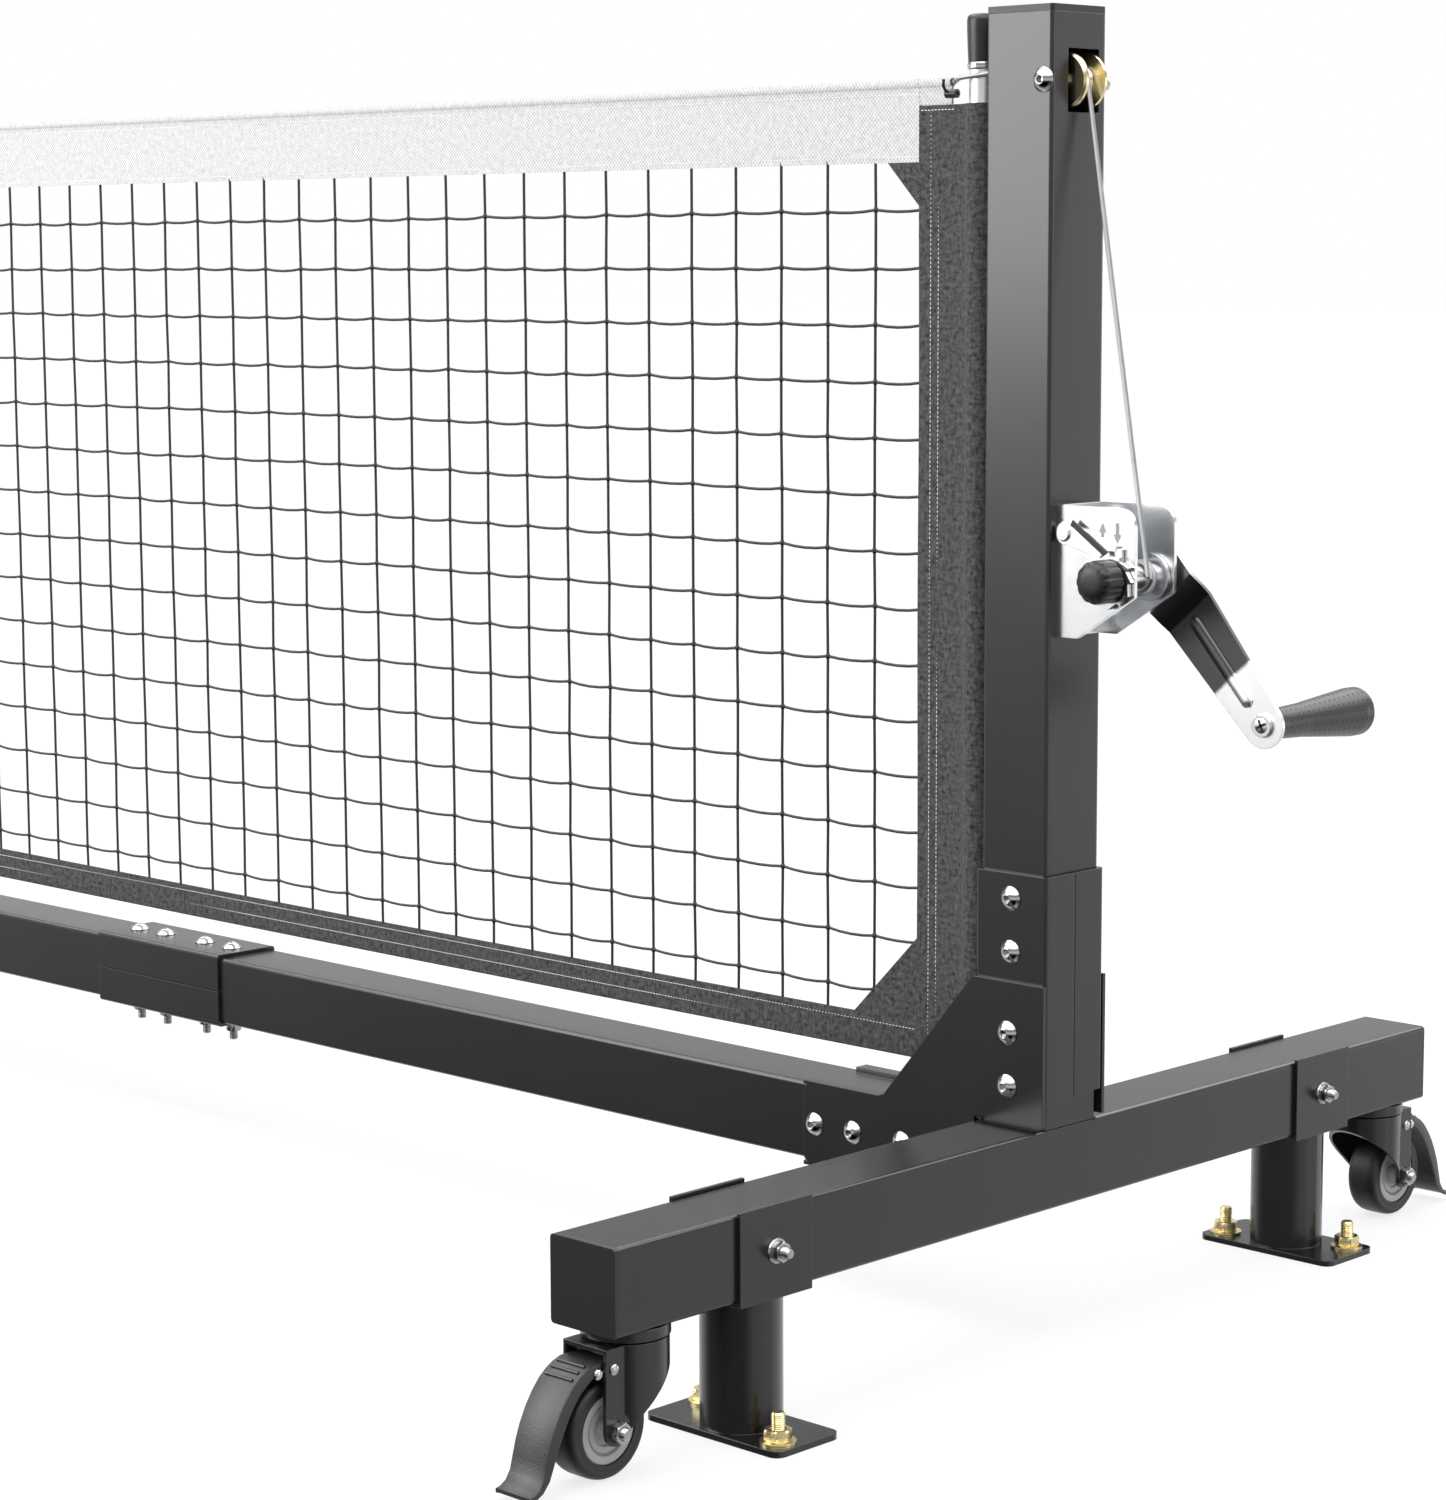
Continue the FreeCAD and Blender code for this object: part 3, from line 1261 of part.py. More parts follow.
def poles():
    """The side rods, standing in the net's side sleeves, and their plastic end caps."""
    rods = []
    caps = []
    for end in ENDS:
        x = end_x(end, "-pole_inset")
        long = "pole_top - pole_bottom"
        middle = "(pole_top + pole_bottom) / 2"
        bar = rod("pole", "pole_radius", long, (x, "0", middle), "Z")
        bore = rod("pole_bore", "pole_radius - 1.5", f"{long} - 2", (x, "0", middle), "Z")
        rods.append(cut("pole", bar, [bore]))
        for tip, way, deep in (("pole_top", 1, "pole_cap_drop"), ("pole_bottom", -1, "14")):
            cap_long = f"{deep} + 3"
            cap_middle = f"{tip} + {way} * 3 - {way} * ({cap_long}) / 2"
            shell = rod("pole_cap", "pole_cap_radius", cap_long, (x, "0", cap_middle), "Z")
            room_middle = f"{tip} - {way} * tube_side"
            room = rod("pole_room", "pole_radius", "2 * tube_side", (x, "0", room_middle), "Z")
            caps.append(cut("pole_cap", shell, [room]))
    keep(group("poles", rods), "net_poles")
    keep(group("pole_caps", caps), "net_pole_caps")


def soft_parts():
    """The net and its bands as plain solids: head band, side bands, bottom band and mesh."""
    tape_half = f"(half_span + tube_side / 2 - head_end)"
    tape_z = "net_top - rope_hem - (head_width - rope_hem) / 2"
    tape_size = (f"2 * {tape_half}", "head_thick", "head_width - rope_hem")
    tape = block("tape", tape_size, ("mid_x", "0", tape_z))
    hem = rod("hem", "rope_hem", f"2 * {tape_half}", ("mid_x", "0", ROPE_LINE), "X")
    channel = rod("channel", "rope_channel", f"3 * {tape_half}", ("mid_x", "0", ROPE_LINE), "X")
    tools = [channel]
    bands = []
    for end in ENDS:
        notch_x = end_x(end, "-side_edge - soft_gap + 100")
        notch_z = "side_top + soft_gap - 100"
        tools.append(block("notch", ("200", "60", "200"), (notch_x, "0", notch_z)))
        x = end_x(end, "-pole_inset")
        tall = "side_top - net_bottom"
        middle = "(side_top + net_bottom) / 2"
        round_part = rod("side_round", "side_sleeve", tall, (x, "0", middle), "Z")
        flat_long = "side_edge - pole_inset"
        flat_x = end_x(end, "-(side_edge + pole_inset) / 2")
        flat = block("side_flat", (flat_long, "side_thick", tall), (flat_x, "0", middle))
        room = rod("side_room", "pole_radius + soft_gap", "4 * net_top", (x, "0", middle), "Z")
        cap_room = rod("cap_room", "pole_cap_radius + soft_gap", "28", (x, "0", "pole_bottom"), "Z")
        bands.append(cut("side_band", join("side_band", [round_part, flat]), [room, cap_room]))
    keep(cut("headband", join("headband", [tape, hem]), tools), "headband")
    keep(group("side_bands", bands), "side_bands")
    half = "(half_span + tube_side / 2 - side_edge - soft_gap)"
    bottom_z = "net_bottom + bottom_width / 2"
    bottom_size = (f"2 * {half}", "side_thick", "bottom_width")
    keep(block("bottom_band", bottom_size, ("mid_x", "0", bottom_z)), "bottom_band")
    low = "net_bottom + bottom_width + soft_gap"
    high = "net_top - head_width - soft_gap"
    mesh_size = (f"2 * {half}", "net_thick", f"({high}) - ({low})")
    keep(block("net_panel", mesh_size, ("mid_x", "0", f"(({high}) + ({low})) / 2")), "net_panel")


# ---------------------------------------------------------------- the whole net


def build():
    for end in ENDS:
        post(end)
        foot(end)
    keep(group("tube_caps", post_caps() + foot_caps()), "tube_caps")
    beam_ends()
    beam_middles()
    sleeves()
    gussets()
    frame_bolts()
    stands()
    stand_bolts()
    floor_bolts()
    casters()
    pulley()
    winch_frame()
    winch_fasteners()
    drum()
    ratchet()
    knob()
    crank_arm()
    crank_grip()
    pawl()
    wire_rope()
    rope_turns()
    ferrules()
    poles()
    soft_parts()


def write_parts():
    """Checks every object and every shape, then writes one file for each sub-part."""
    doc.recompute()
    for item in doc.Objects:
        if "Invalid" in item.State or "Error" in item.State:
            raise RuntimeError(f"{item.Name} failed: {item.State}")
    for item in PARTS:
        if item.Shape.isNull() or not item.Shape.isValid() or not item.Shape.Solids:
            raise RuntimeError(f"{item.Label} has no valid shape")
    os.makedirs("parts", exist_ok=True)
    for item in PARTS:
        item.Shape.exportStep(f"parts/{item.Label}.step")
        print(item.Label, len(item.Shape.Solids), "solids", round(item.Shape.Volume), "mm3")
    print(len(PARTS), "sub-parts")


build()
write_parts()
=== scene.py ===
import math
import random

import bmesh
import bpy
from mathutils import Matrix, Vector


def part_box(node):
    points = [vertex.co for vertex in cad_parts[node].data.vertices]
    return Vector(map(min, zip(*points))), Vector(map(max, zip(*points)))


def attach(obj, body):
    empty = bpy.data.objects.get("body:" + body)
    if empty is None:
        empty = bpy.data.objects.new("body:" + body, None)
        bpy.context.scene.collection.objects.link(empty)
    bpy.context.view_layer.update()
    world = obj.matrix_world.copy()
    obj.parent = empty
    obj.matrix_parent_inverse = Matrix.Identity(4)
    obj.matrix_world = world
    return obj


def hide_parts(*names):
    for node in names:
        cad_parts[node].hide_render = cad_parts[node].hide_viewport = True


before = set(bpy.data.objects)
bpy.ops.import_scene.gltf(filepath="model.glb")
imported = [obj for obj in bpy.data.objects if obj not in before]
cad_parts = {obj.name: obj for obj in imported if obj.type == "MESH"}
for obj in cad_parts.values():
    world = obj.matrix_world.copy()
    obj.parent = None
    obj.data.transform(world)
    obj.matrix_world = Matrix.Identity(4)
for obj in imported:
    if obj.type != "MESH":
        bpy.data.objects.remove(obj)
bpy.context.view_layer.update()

RIGHT, BACK, UP = Vector((1, 0, 0)), Vector((0, 1, 0)), Vector((0, 0, 1))

# ---------------------------------------------------------- the net's own measures, in metres

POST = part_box("post_winch_end")
WINCH_FACE = POST[1][0]
FAR_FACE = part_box("post_far_end")[0][0]
MID_X = (WINCH_FACE + FAR_FACE) / 2
HEAD_LOW, HEAD_TOP = (corner[2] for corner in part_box("headband"))
BAND_LOW, BAND_TOP = (corner[2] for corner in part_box("side_bands"))
HEM_LOW, HEM_TOP = (corner[2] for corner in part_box("bottom_band"))
ENDS = {"winch": 1, "far": -1}
SIDES = {"front": -1, "back": 1}

POLE_INSET = 0.087
POLE_RADIUS = 0.0108
SIDE_EDGE = 0.147
CANVAS_THICK = 0.0008

CRANK_LEAN = math.radians(-48.9)
CRANK_LONG = 0.133
CRANK_WAY = (math.cos(CRANK_LEAN), 0.0, math.sin(CRANK_LEAN))
DRUM_X = WINCH_FACE + 0.050
WINCH_Z = 0.561
GRIP_X = DRUM_X + CRANK_LONG * CRANK_WAY[0]
GRIP_Z = WINCH_Z + CRANK_LONG * CRANK_WAY[2]


def end_x(end, outward):
    """The x of a place given outwards from the outer face of an end's post."""
    face = WINCH_FACE if end == "winch" else FAR_FACE
    return face + ENDS[end] * outward


LEFT_EDGE, RIGHT_EDGE = end_x("far", -SIDE_EDGE), end_x("winch", -SIDE_EDGE)


def corners(node):
    """The low and the high corner of a CAD node's box."""
    return [Vector(corner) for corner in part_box(node)]


def middle(low, high):
    return (low + high) / 2


# ---------------------------------------------------------- shader maths


class Value:
    """A node's output that can be used in sums."""

    def __init__(self, nodes, socket):
        self.nodes = nodes
        self.socket = socket

    def __add__(self, other):
        return self.nodes.maths("ADD", self, other)

    def __radd__(self, other):
        return self.nodes.maths("ADD", other, self)

    def __sub__(self, other):
        return self.nodes.maths("SUBTRACT", self, other)

    def __rsub__(self, other):
        return self.nodes.maths("SUBTRACT", other, self)

    def __mul__(self, other):
        return self.nodes.maths("MULTIPLY", self, other)

    def __rmul__(self, other):
        return self.nodes.maths("MULTIPLY", other, self)


class Nodes:
    """A node tree and the ways of adding to it."""

    def __init__(self, tree):
        self.tree = tree

    def feed(self, socket, value):
        """Gives a socket a link or a number."""
        if isinstance(value, Value):
            self.tree.links.new(value.socket, socket)
        elif value is not None:
            socket.default_value = value

    def node(self, kind, settings=None, inputs=None, output=0):
        """Any node: its settings first, then the values or links of its sockets."""
        item = self.tree.nodes.new("ShaderNode" + kind)
        for name, value in (settings or {}).items():
            if name == "stops":
                self.set_stops(item.color_ramp.elements, value)
            else:
                setattr(item, name, value)
        for key, value in (inputs or {}).items():
            self.feed(item.inputs[key], value)
        return Value(self, item.outputs[output])

    def set_stops(self, ramp, stops):
        """A ramp's stops: the two that it starts with, then the ones between them."""
        for index, (place, colour) in enumerate(stops):
            stop = ramp[index] if index < 2 else ramp.new(place)
            stop.position = place
            stop.color = (*colour, 1)

    def maths(self, operation, *values):
        return self.node("Math", {"operation": operation}, dict(enumerate(values)))

    def parts(self, vector):
        """The x, y and z of a vector."""
        split = self.node("SeparateXYZ", {}, {0: vector}).socket.node
        return [Value(self, socket) for socket in split.outputs]

    def reach_along(self, vector, way):
        """How far a vector goes one way."""
        inputs = {0: vector, 1: way}
        return self.node("VectorMath", {"operation": "DOT_PRODUCT"}, inputs, output="Value")

    def step(self, amount, low, high):
        """A soft step from 0 to 1 as an amount goes from low to high."""
        inputs = {0: amount, 1: low, 2: high, 3: 0.0, 4: 1.0}
        return self.node("MapRange", {"interpolation_type": "SMOOTHSTEP"}, inputs)


class Finish(Nodes):
    """One material and its nodes."""

    def __init__(self, name, **fixed):
        self.material = bpy.data.materials.new(name)
        self.material.use_nodes = True
        super().__init__(self.material.node_tree)
        self.shader = self.tree.nodes["Principled BSDF"]
        for socket, value in fixed.items():
            self.shader.inputs[socket.replace("_", " ")].default_value = value

    def place(self):
        """Where a point is on the net, in metres."""
        return self.node("TexCoord", output="Object")

    def flat_cloth(self):
        """Where a point is on the flat cloth, in metres."""
        return self.node("TexCoord", output="UV")

    def scaled(self, vector, factors):
        return self.node("VectorMath", {"operation": "MULTIPLY"}, {0: vector, 1: factors})

    def noise(self, vector, scale, detail=2.0, rough=0.5):
        inputs = {"Vector": vector, "Scale": scale, "Detail": detail, "Roughness": rough}
        return self.node("TexNoise", {}, inputs)

    def waves(self, vector, scale, direction, warp=0.0):
        settings = {"wave_type": "BANDS", "bands_direction": direction, "wave_profile": "SIN"}
        inputs = {"Vector": vector, "Scale": scale, "Distortion": warp, "Detail": 1.0}
        return self.node("TexWave", settings, inputs)

    def between(self, factor, low, high):
        """A colour between two others."""
        low, high = (end if isinstance(end, Value) else (*end, 1) for end in (low, high))
        return self.node("Mix", {"data_type": "RGBA"}, {0: factor, 6: low, 7: high}, output=2)

    def bumped(self, height, depth, strength, normal=None):
        inputs = {"Height": height, "Distance": depth, "Strength": strength, "Normal": normal}
        return self.node("Bump", {}, inputs)

    def soft_edges(self, radius):
        return self.node("Bevel", {"samples": 4}, {"Radius": radius})

    def made(self, colour, rough, normal=None):
        """Links what varies to the shader and hands over the material."""
        varied = {"Base Color": colour, "Roughness": rough, "Normal": normal}
        for name, value in varied.items():
            if value is not None:
                self.feed(self.shader.inputs[name], value)
        return self.material


# ---------------------------------------------------------- finishes


def grey(level, blue=None):
    """A neutral colour, its blue given where it differs."""
    return (level, level, level if blue is None else blue)


def powder_coat():
    """Satin black powder coat with a fine orange peel."""
    coat = Finish("powder coat", IOR=1.5, Specular_IOR_Level=0.5,
                  Coat_Weight=0.12, Coat_Roughness=0.25)
    spot = coat.place()
    peel = coat.noise(spot, scale=900)
    cloud = coat.noise(spot, scale=9, detail=3)
    colour = coat.between(cloud, grey(0.0075, 0.0078), grey(0.011, 0.0114))
    normal = coat.bumped(peel, depth=0.00003, strength=0.5, normal=coat.soft_edges(0.0011))
    return coat.made(colour, 0.19 + cloud * 0.05 + peel * 0.05, normal)


def moulded_plastic(name, low, high, rough):
    """Moulded plastic with a fine spark-eroded grain."""
    plastic = Finish(name, IOR=1.46)
    spot = plastic.place()
    grain = plastic.noise(spot, scale=1500)
    cloud = plastic.noise(spot, scale=30)
    normal = plastic.bumped(grain, 0.00004, 0.6, plastic.soft_edges(0.0005))
    return plastic.made(plastic.between(cloud, low, high), rough + grain * 0.12, normal)


def rubber():
    """Black tyre rubber, dusty in patches."""
    tyre = Finish("tyre rubber", IOR=1.45)
    spot = tyre.place()
    dust = tyre.noise(spot, scale=60, detail=4, rough=0.6)
    grain = tyre.noise(spot, scale=2200)
    colour = tyre.between(dust, grey(0.004), grey(0.010))
    return tyre.made(colour, 0.42 + dust * 0.14, tyre.bumped(grain, 0.00004, 0.6))


def bright_metal(name, low, high, rough, stretch):
    """Plated metal with fine marks along one direction."""
    metal = Finish(name, Metallic=1.0)
    spot = metal.place()
    marks = metal.noise(metal.scaled(spot, stretch), scale=60, detail=3, rough=0.6)
    cloud = metal.noise(spot, scale=45, detail=3)
    normal = metal.bumped(marks, 0.00001, 0.5, metal.soft_edges(0.0006))
    return metal.made(metal.between(cloud, low, high), rough + marks * 0.10 + cloud * 0.04, normal)


def yellow_zinc():
    """Yellow passivated zinc, its tint drifting between gold and pink."""
    metal = Finish("yellow zinc", Metallic=1.0)
    spot = metal.place()
    drift = metal.noise(spot, scale=120, detail=3, rough=0.6)
    tints = ((0.30, (0.60, 0.50, 0.22)), (0.70, (0.66, 0.47, 0.27)), (0.5, (0.72, 0.64, 0.36)))
    colour = metal.node("ValToRGB", {"stops": tints}, {0: drift})
    turns = metal.waves(spot, 250, "Z")
    return metal.made(colour, 0.22 + drift * 0.15, metal.bumped(turns, 0.00012, 0.5))


def turned_brass():
    """Polished brass with the rings that a lathe leaves."""
    metal = Finish("turned brass", Metallic=1.0)
    spot = metal.place()
    cloud = metal.noise(spot, scale=80, detail=3)
    rings = metal.waves(spot, 900, "Y", warp=0.4)
    colour = metal.between(cloud, (0.70, 0.59, 0.34), (0.86, 0.77, 0.52))
    return metal.made(colour, 0.18 + cloud * 0.12, metal.bumped(rings, 0.00003, 0.4))


def laid_strands(finish, spot, way, turns):
    """Slanting ridges and grooves, as on anything twisted from strands."""
    return finish.maths("SINE", finish.reach_along(spot, way) * turns) * 0.5 + 0.5


def wire_strands():
    """Galvanised wire rope, painted dark in the grooves between its strands as painted shade."""
    metal = Finish("wire rope", Metallic=1.0)
    spot = metal.place()
    strands = laid_strands(metal, spot, (1.0, 1.1, 1.0), 3600)
    cloud = metal.noise(spot, scale=200, detail=3)
    # Painted shade: the grooves between strands are painted dark, the strands' crowns keep the
    # zinc's light grey.
    colour = metal.between(strands, grey(0.16), grey(0.72, 0.73))
    return metal.made(colour, 0.28 + cloud * 0.2, metal.bumped(strands, 0.0005, 0.8))


def twine():
    """Black polyethylene twine, its plies showing as slanting lines, the grooves between them
    painted darker as painted shade.
    """
    cord = Finish("net twine", IOR=1.5)
    plies = laid_strands(cord, cord.place(), (1.0, 1.3, 1.0), 2600)
    # Painted shade: the twine is painted darker in the grooves between the plies.
    colour = cord.between(plies, grey(0.004, 0.0045), grey(0.014, 0.015))
    return cord.made(colour, 0.5 + plies * 0.1, cord.bumped(plies, 0.0003, 0.6))


def canvas(name, ground, thread, pitch, slub, even, rough, depth):
    """Plain-woven canvas on the flat cloth.

    ground, thread: the colours between the threads and on them. pitch: two threads, in metres.
    slub: how much thick and thin threads show. even: how much the regular weave shows.
    """
    cloth = Finish(name, Sheen_Weight=0.06, Sheen_Roughness=0.4, IOR=1.4, Specular_IOR_Level=0.25)
    flat = cloth.flat_cloth()
    across, along, _ = cloth.parts(flat)
    turns = 2 * math.pi / pitch
    checker = cloth.maths("SINE", across * turns) * cloth.maths("SINE", along * turns) * 0.5 + 0.5
    narrow, long = 0.9 / pitch, 160
    streaks = (cloth.noise(cloth.scaled(flat, (narrow, long, 1)), scale=1)
               + cloth.noise(cloth.scaled(flat, (long, narrow, 1)), scale=1))
    speck = cloth.noise(flat, scale=0.8 / pitch, rough=0.7)
    light = (checker * even + (streaks - 1) * slub * 1.6
             + (speck - 0.5) * (1.5 - even) + 0.5 - even * 0.5)
    colour = cloth.between(cloth.node("Clamp", {}, {0: light}), ground, thread)
    weave = cloth.bumped(checker * 0.6 + speck * 0.6, depth, 0.7)
    return cloth.made(colour, rough + checker * 0.06, weave)


def thread():
    """White polyester sewing thread."""
    yarn = Finish("sewing thread", Sheen_Weight=0.2)
    twist = yarn.noise(yarn.place(), scale=1800)
    return yarn.made(yarn.between(twist, grey(0.62), grey(0.86)), 0.7 + twist * 0.1)


def print_ink():
    """Grey ink for the two plain arrows."""
    ink = Finish("grey ink", IOR=1.45)
    cloud = ink.noise(ink.place(), scale=400)
    return ink.made(ink.between(cloud, grey(0.22), grey(0.30)), 0.5 + cloud * 0.1)


def stamped_grain():
    """Black coated pressing with a coarse leathery grain."""
    coat = Finish("grained pedal", IOR=1.5)
    spot = coat.place()
    grain = coat.noise(spot, scale=700, detail=3, rough=0.6)
    cloud = coat.noise(spot, scale=40)
    colour = coat.between(cloud, grey(0.008), grey(0.014))
    return coat.made(colour, 0.34 + grain * 0.14, coat.bumped(grain, 0.00025, 0.7))


def crank_plate():
    """The crank's plate with its reflections painted in: painted dark reflection down to a line
    across it, painted bright reflection at hub and grip.
    """
    metal = Finish("crank plate", Metallic=1.0)
    spot = metal.place()
    along = metal.reach_along(spot, CRANK_WAY)
    hub = DRUM_X * CRANK_WAY[0] + WINCH_Z * CRANK_WAY[2]
    marks = metal.noise(metal.scaled(spot, (1, 6, 1)), scale=70, detail=3, rough=0.6)
    # Painted reflection: below the line the plate is painted bright, above it dark, and bright
    # again near the hub.
    bright = metal.step(along + marks * 0.002, hub + 0.0905, hub + 0.0945)
    hub_painted_highlight = 1 - metal.step(along, hub - 0.004, hub + 0.030)
    upper_painted_reflection = metal.between(hub_painted_highlight, grey(0.075, 0.077), grey(0.60, 0.61))
    colour = metal.between(bright, upper_painted_reflection, grey(0.80, 0.81))
    normal = metal.bumped(marks, 0.00001, 0.5, metal.soft_edges(0.0006))
    return metal.made(colour, 0.30 + marks * 0.08, normal)


def dimpled_grip():
    """Dark grey moulded grip with rows of small round dimples, each painted near-black inside as
    painted shade.
    """
    plastic = Finish("dimpled grip", IOR=1.46)
    spot = plastic.place()
    x, y, z = plastic.parts(spot)
    dimples_round, dimple_pitch = 16, 0.0055
    angle = plastic.maths("ARCTAN2", z - GRIP_Z, x - GRIP_X)
    row = plastic.maths("FRACT", angle * (dimples_round / (2 * math.pi))) - 0.5
    column = plastic.maths("FRACT", y * (1 / dimple_pitch)) - 0.5
    around = plastic.step(row * row + column * column, 0.012, 0.040)
    grain = plastic.noise(spot, scale=1300)
    # Painted shade: inside each dimple the colour is near-black, on the rim between the dimples
    # dark grey.
    colour = plastic.between(around, grey(0.006), grey(0.030, 0.031))
    normal = plastic.bumped(around + grain * 0.06, 0.0004, 0.8)
    return plastic.made(colour, 0.30 + grain * 0.1, normal)


BLACK = powder_coat()
PEDAL_BLACK = stamped_grain()
CRANK_PLATE = crank_plate()
CAP_BLACK = moulded_plastic("cap plastic", grey(0.006), grey(0.010), 0.30)
KNOB_BLACK = moulded_plastic("knob plastic", grey(0.003), grey(0.006), 0.30)
HUB_GREY = moulded_plastic("hub plastic", grey(0.24, 0.243), grey(0.30, 0.304), 0.32)
GRIP_GREY = dimpled_grip()
RUBBER = rubber()
EVEN, UPRIGHT, LEVEL = (1, 1, 1), (8, 8, 1), (1, 1, 6)
CHROME = bright_metal("bright bolt", (0.40, 0.405, 0.415), (0.54, 0.545, 0.555), 0.07, EVEN)
DULL_ZINC = bright_metal("dull zinc", (0.32, 0.325, 0.33), (0.48, 0.485, 0.49), 0.18, LEVEL)
ZINC = bright_metal("zinc plate", (0.72, 0.73, 0.75), (0.86, 0.87, 0.88), 0.16, LEVEL)
POLE_METAL = bright_metal("pole metal", grey(0.70, 0.71), grey(0.82, 0.83), 0.22, UPRIGHT)
YELLOW = yellow_zinc()
BRASS = turned_brass()
ROPE = wire_strands()
WHITE_CANVAS = canvas("white canvas", grey(0.34, 0.345), grey(0.66, 0.665), pitch=0.0034,
                      slub=0.30, even=0.9, rough=0.74, depth=0.0003)
BLACK_CANVAS = canvas("black canvas", grey(0.005, 0.0055), grey(0.095, 0.098), pitch=0.0024,
                      slub=0.7, even=0.5, rough=0.70, depth=0.0002)
TWINE = twine()
THREAD = thread()
INK = print_ink()

SLOTS = {
    "black_canvas": (BLACK_CANVAS,),
    "black_plastic": (CAP_BLACK, KNOB_BLACK, INK),
    "bright_bolt": (CHROME,),
    "frame_paint": (PEDAL_BLACK,),
    "hub_plastic": (HUB_GREY,),
    "net_twine": (TWINE,),
    "steel_rope": (ROPE,),
    "tyre": (RUBBER,),
    "white_canvas": (WHITE_CANVAS, THREAD),
    "yellow_zinc": (YELLOW,),
    "zinc": (ZINC, DULL_ZINC, CRANK_PLATE),
}
SLOT_OF = {material.name: slot for slot, materials in SLOTS.items() for material in materials}

NODE_FINISHES = (
    (BLACK, ("post_winch_end", "post_far_end", "foot_winch_end", "foot_far_end",
             "beam_end_sections", "beam_middle_sections", "post_sleeve_halves",
             "beam_sleeve_halves", "gusset_plates", "anchor_stands_front",
             "anchor_stands_back", "caster_collars")),
    (CAP_BLACK, ("tube_caps", "rope_ferrules", "net_pole_caps")),
    (DULL_ZINC, ("frame_nuts", "anchor_cross_bolts", "anchor_cross_nuts")),
    (ZINC, ("winch_frame", "winch_fasteners", "winch_drum", "ratchet_wheel",
            "crank_fasteners", "pawl")),
    (CRANK_PLATE, ("crank_arm",)),
    (CHROME, ("frame_bolts", "pulley_axle")),
    (YELLOW, ("floor_bolts", "floor_nuts", "floor_washers")),
    (BRASS, ("pulley",)),
    (POLE_METAL, ("net_poles",)),
    (ROPE, ("wire_rope", "rope_turns")),
    (KNOB_BLACK, ("winch_knob",)),
    (GRIP_GREY, ("crank_grip",)),
)
CASTER_FINISHES = {"fork": BLACK, "brake_pedal": PEDAL_BLACK, "axle_set": DULL_ZINC,
                   "hub": HUB_GREY, "tyre": RUBBER}


def paint(node, material):
    """Gives a CAD node one of the finishes."""
    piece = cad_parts[node]
    for place in piece.material_slots:
        place.material = material
    if not piece.material_slots:
        piece.data.materials.append(material)


for material, nodes in NODE_FINISHES:
    for node in nodes:
        paint(node, material)
for part, material in CASTER_FINISHES.items():
    for end in ENDS:
        for side in SIDES:
            paint(f"{part}_{end}_{side}", material)


# ---------------------------------------------------------- mesh making


def turns_of(count, whole=2 * math.pi):
    """The angles of a number of equal steps round."""
    return [whole * step / count for step in range(count)]


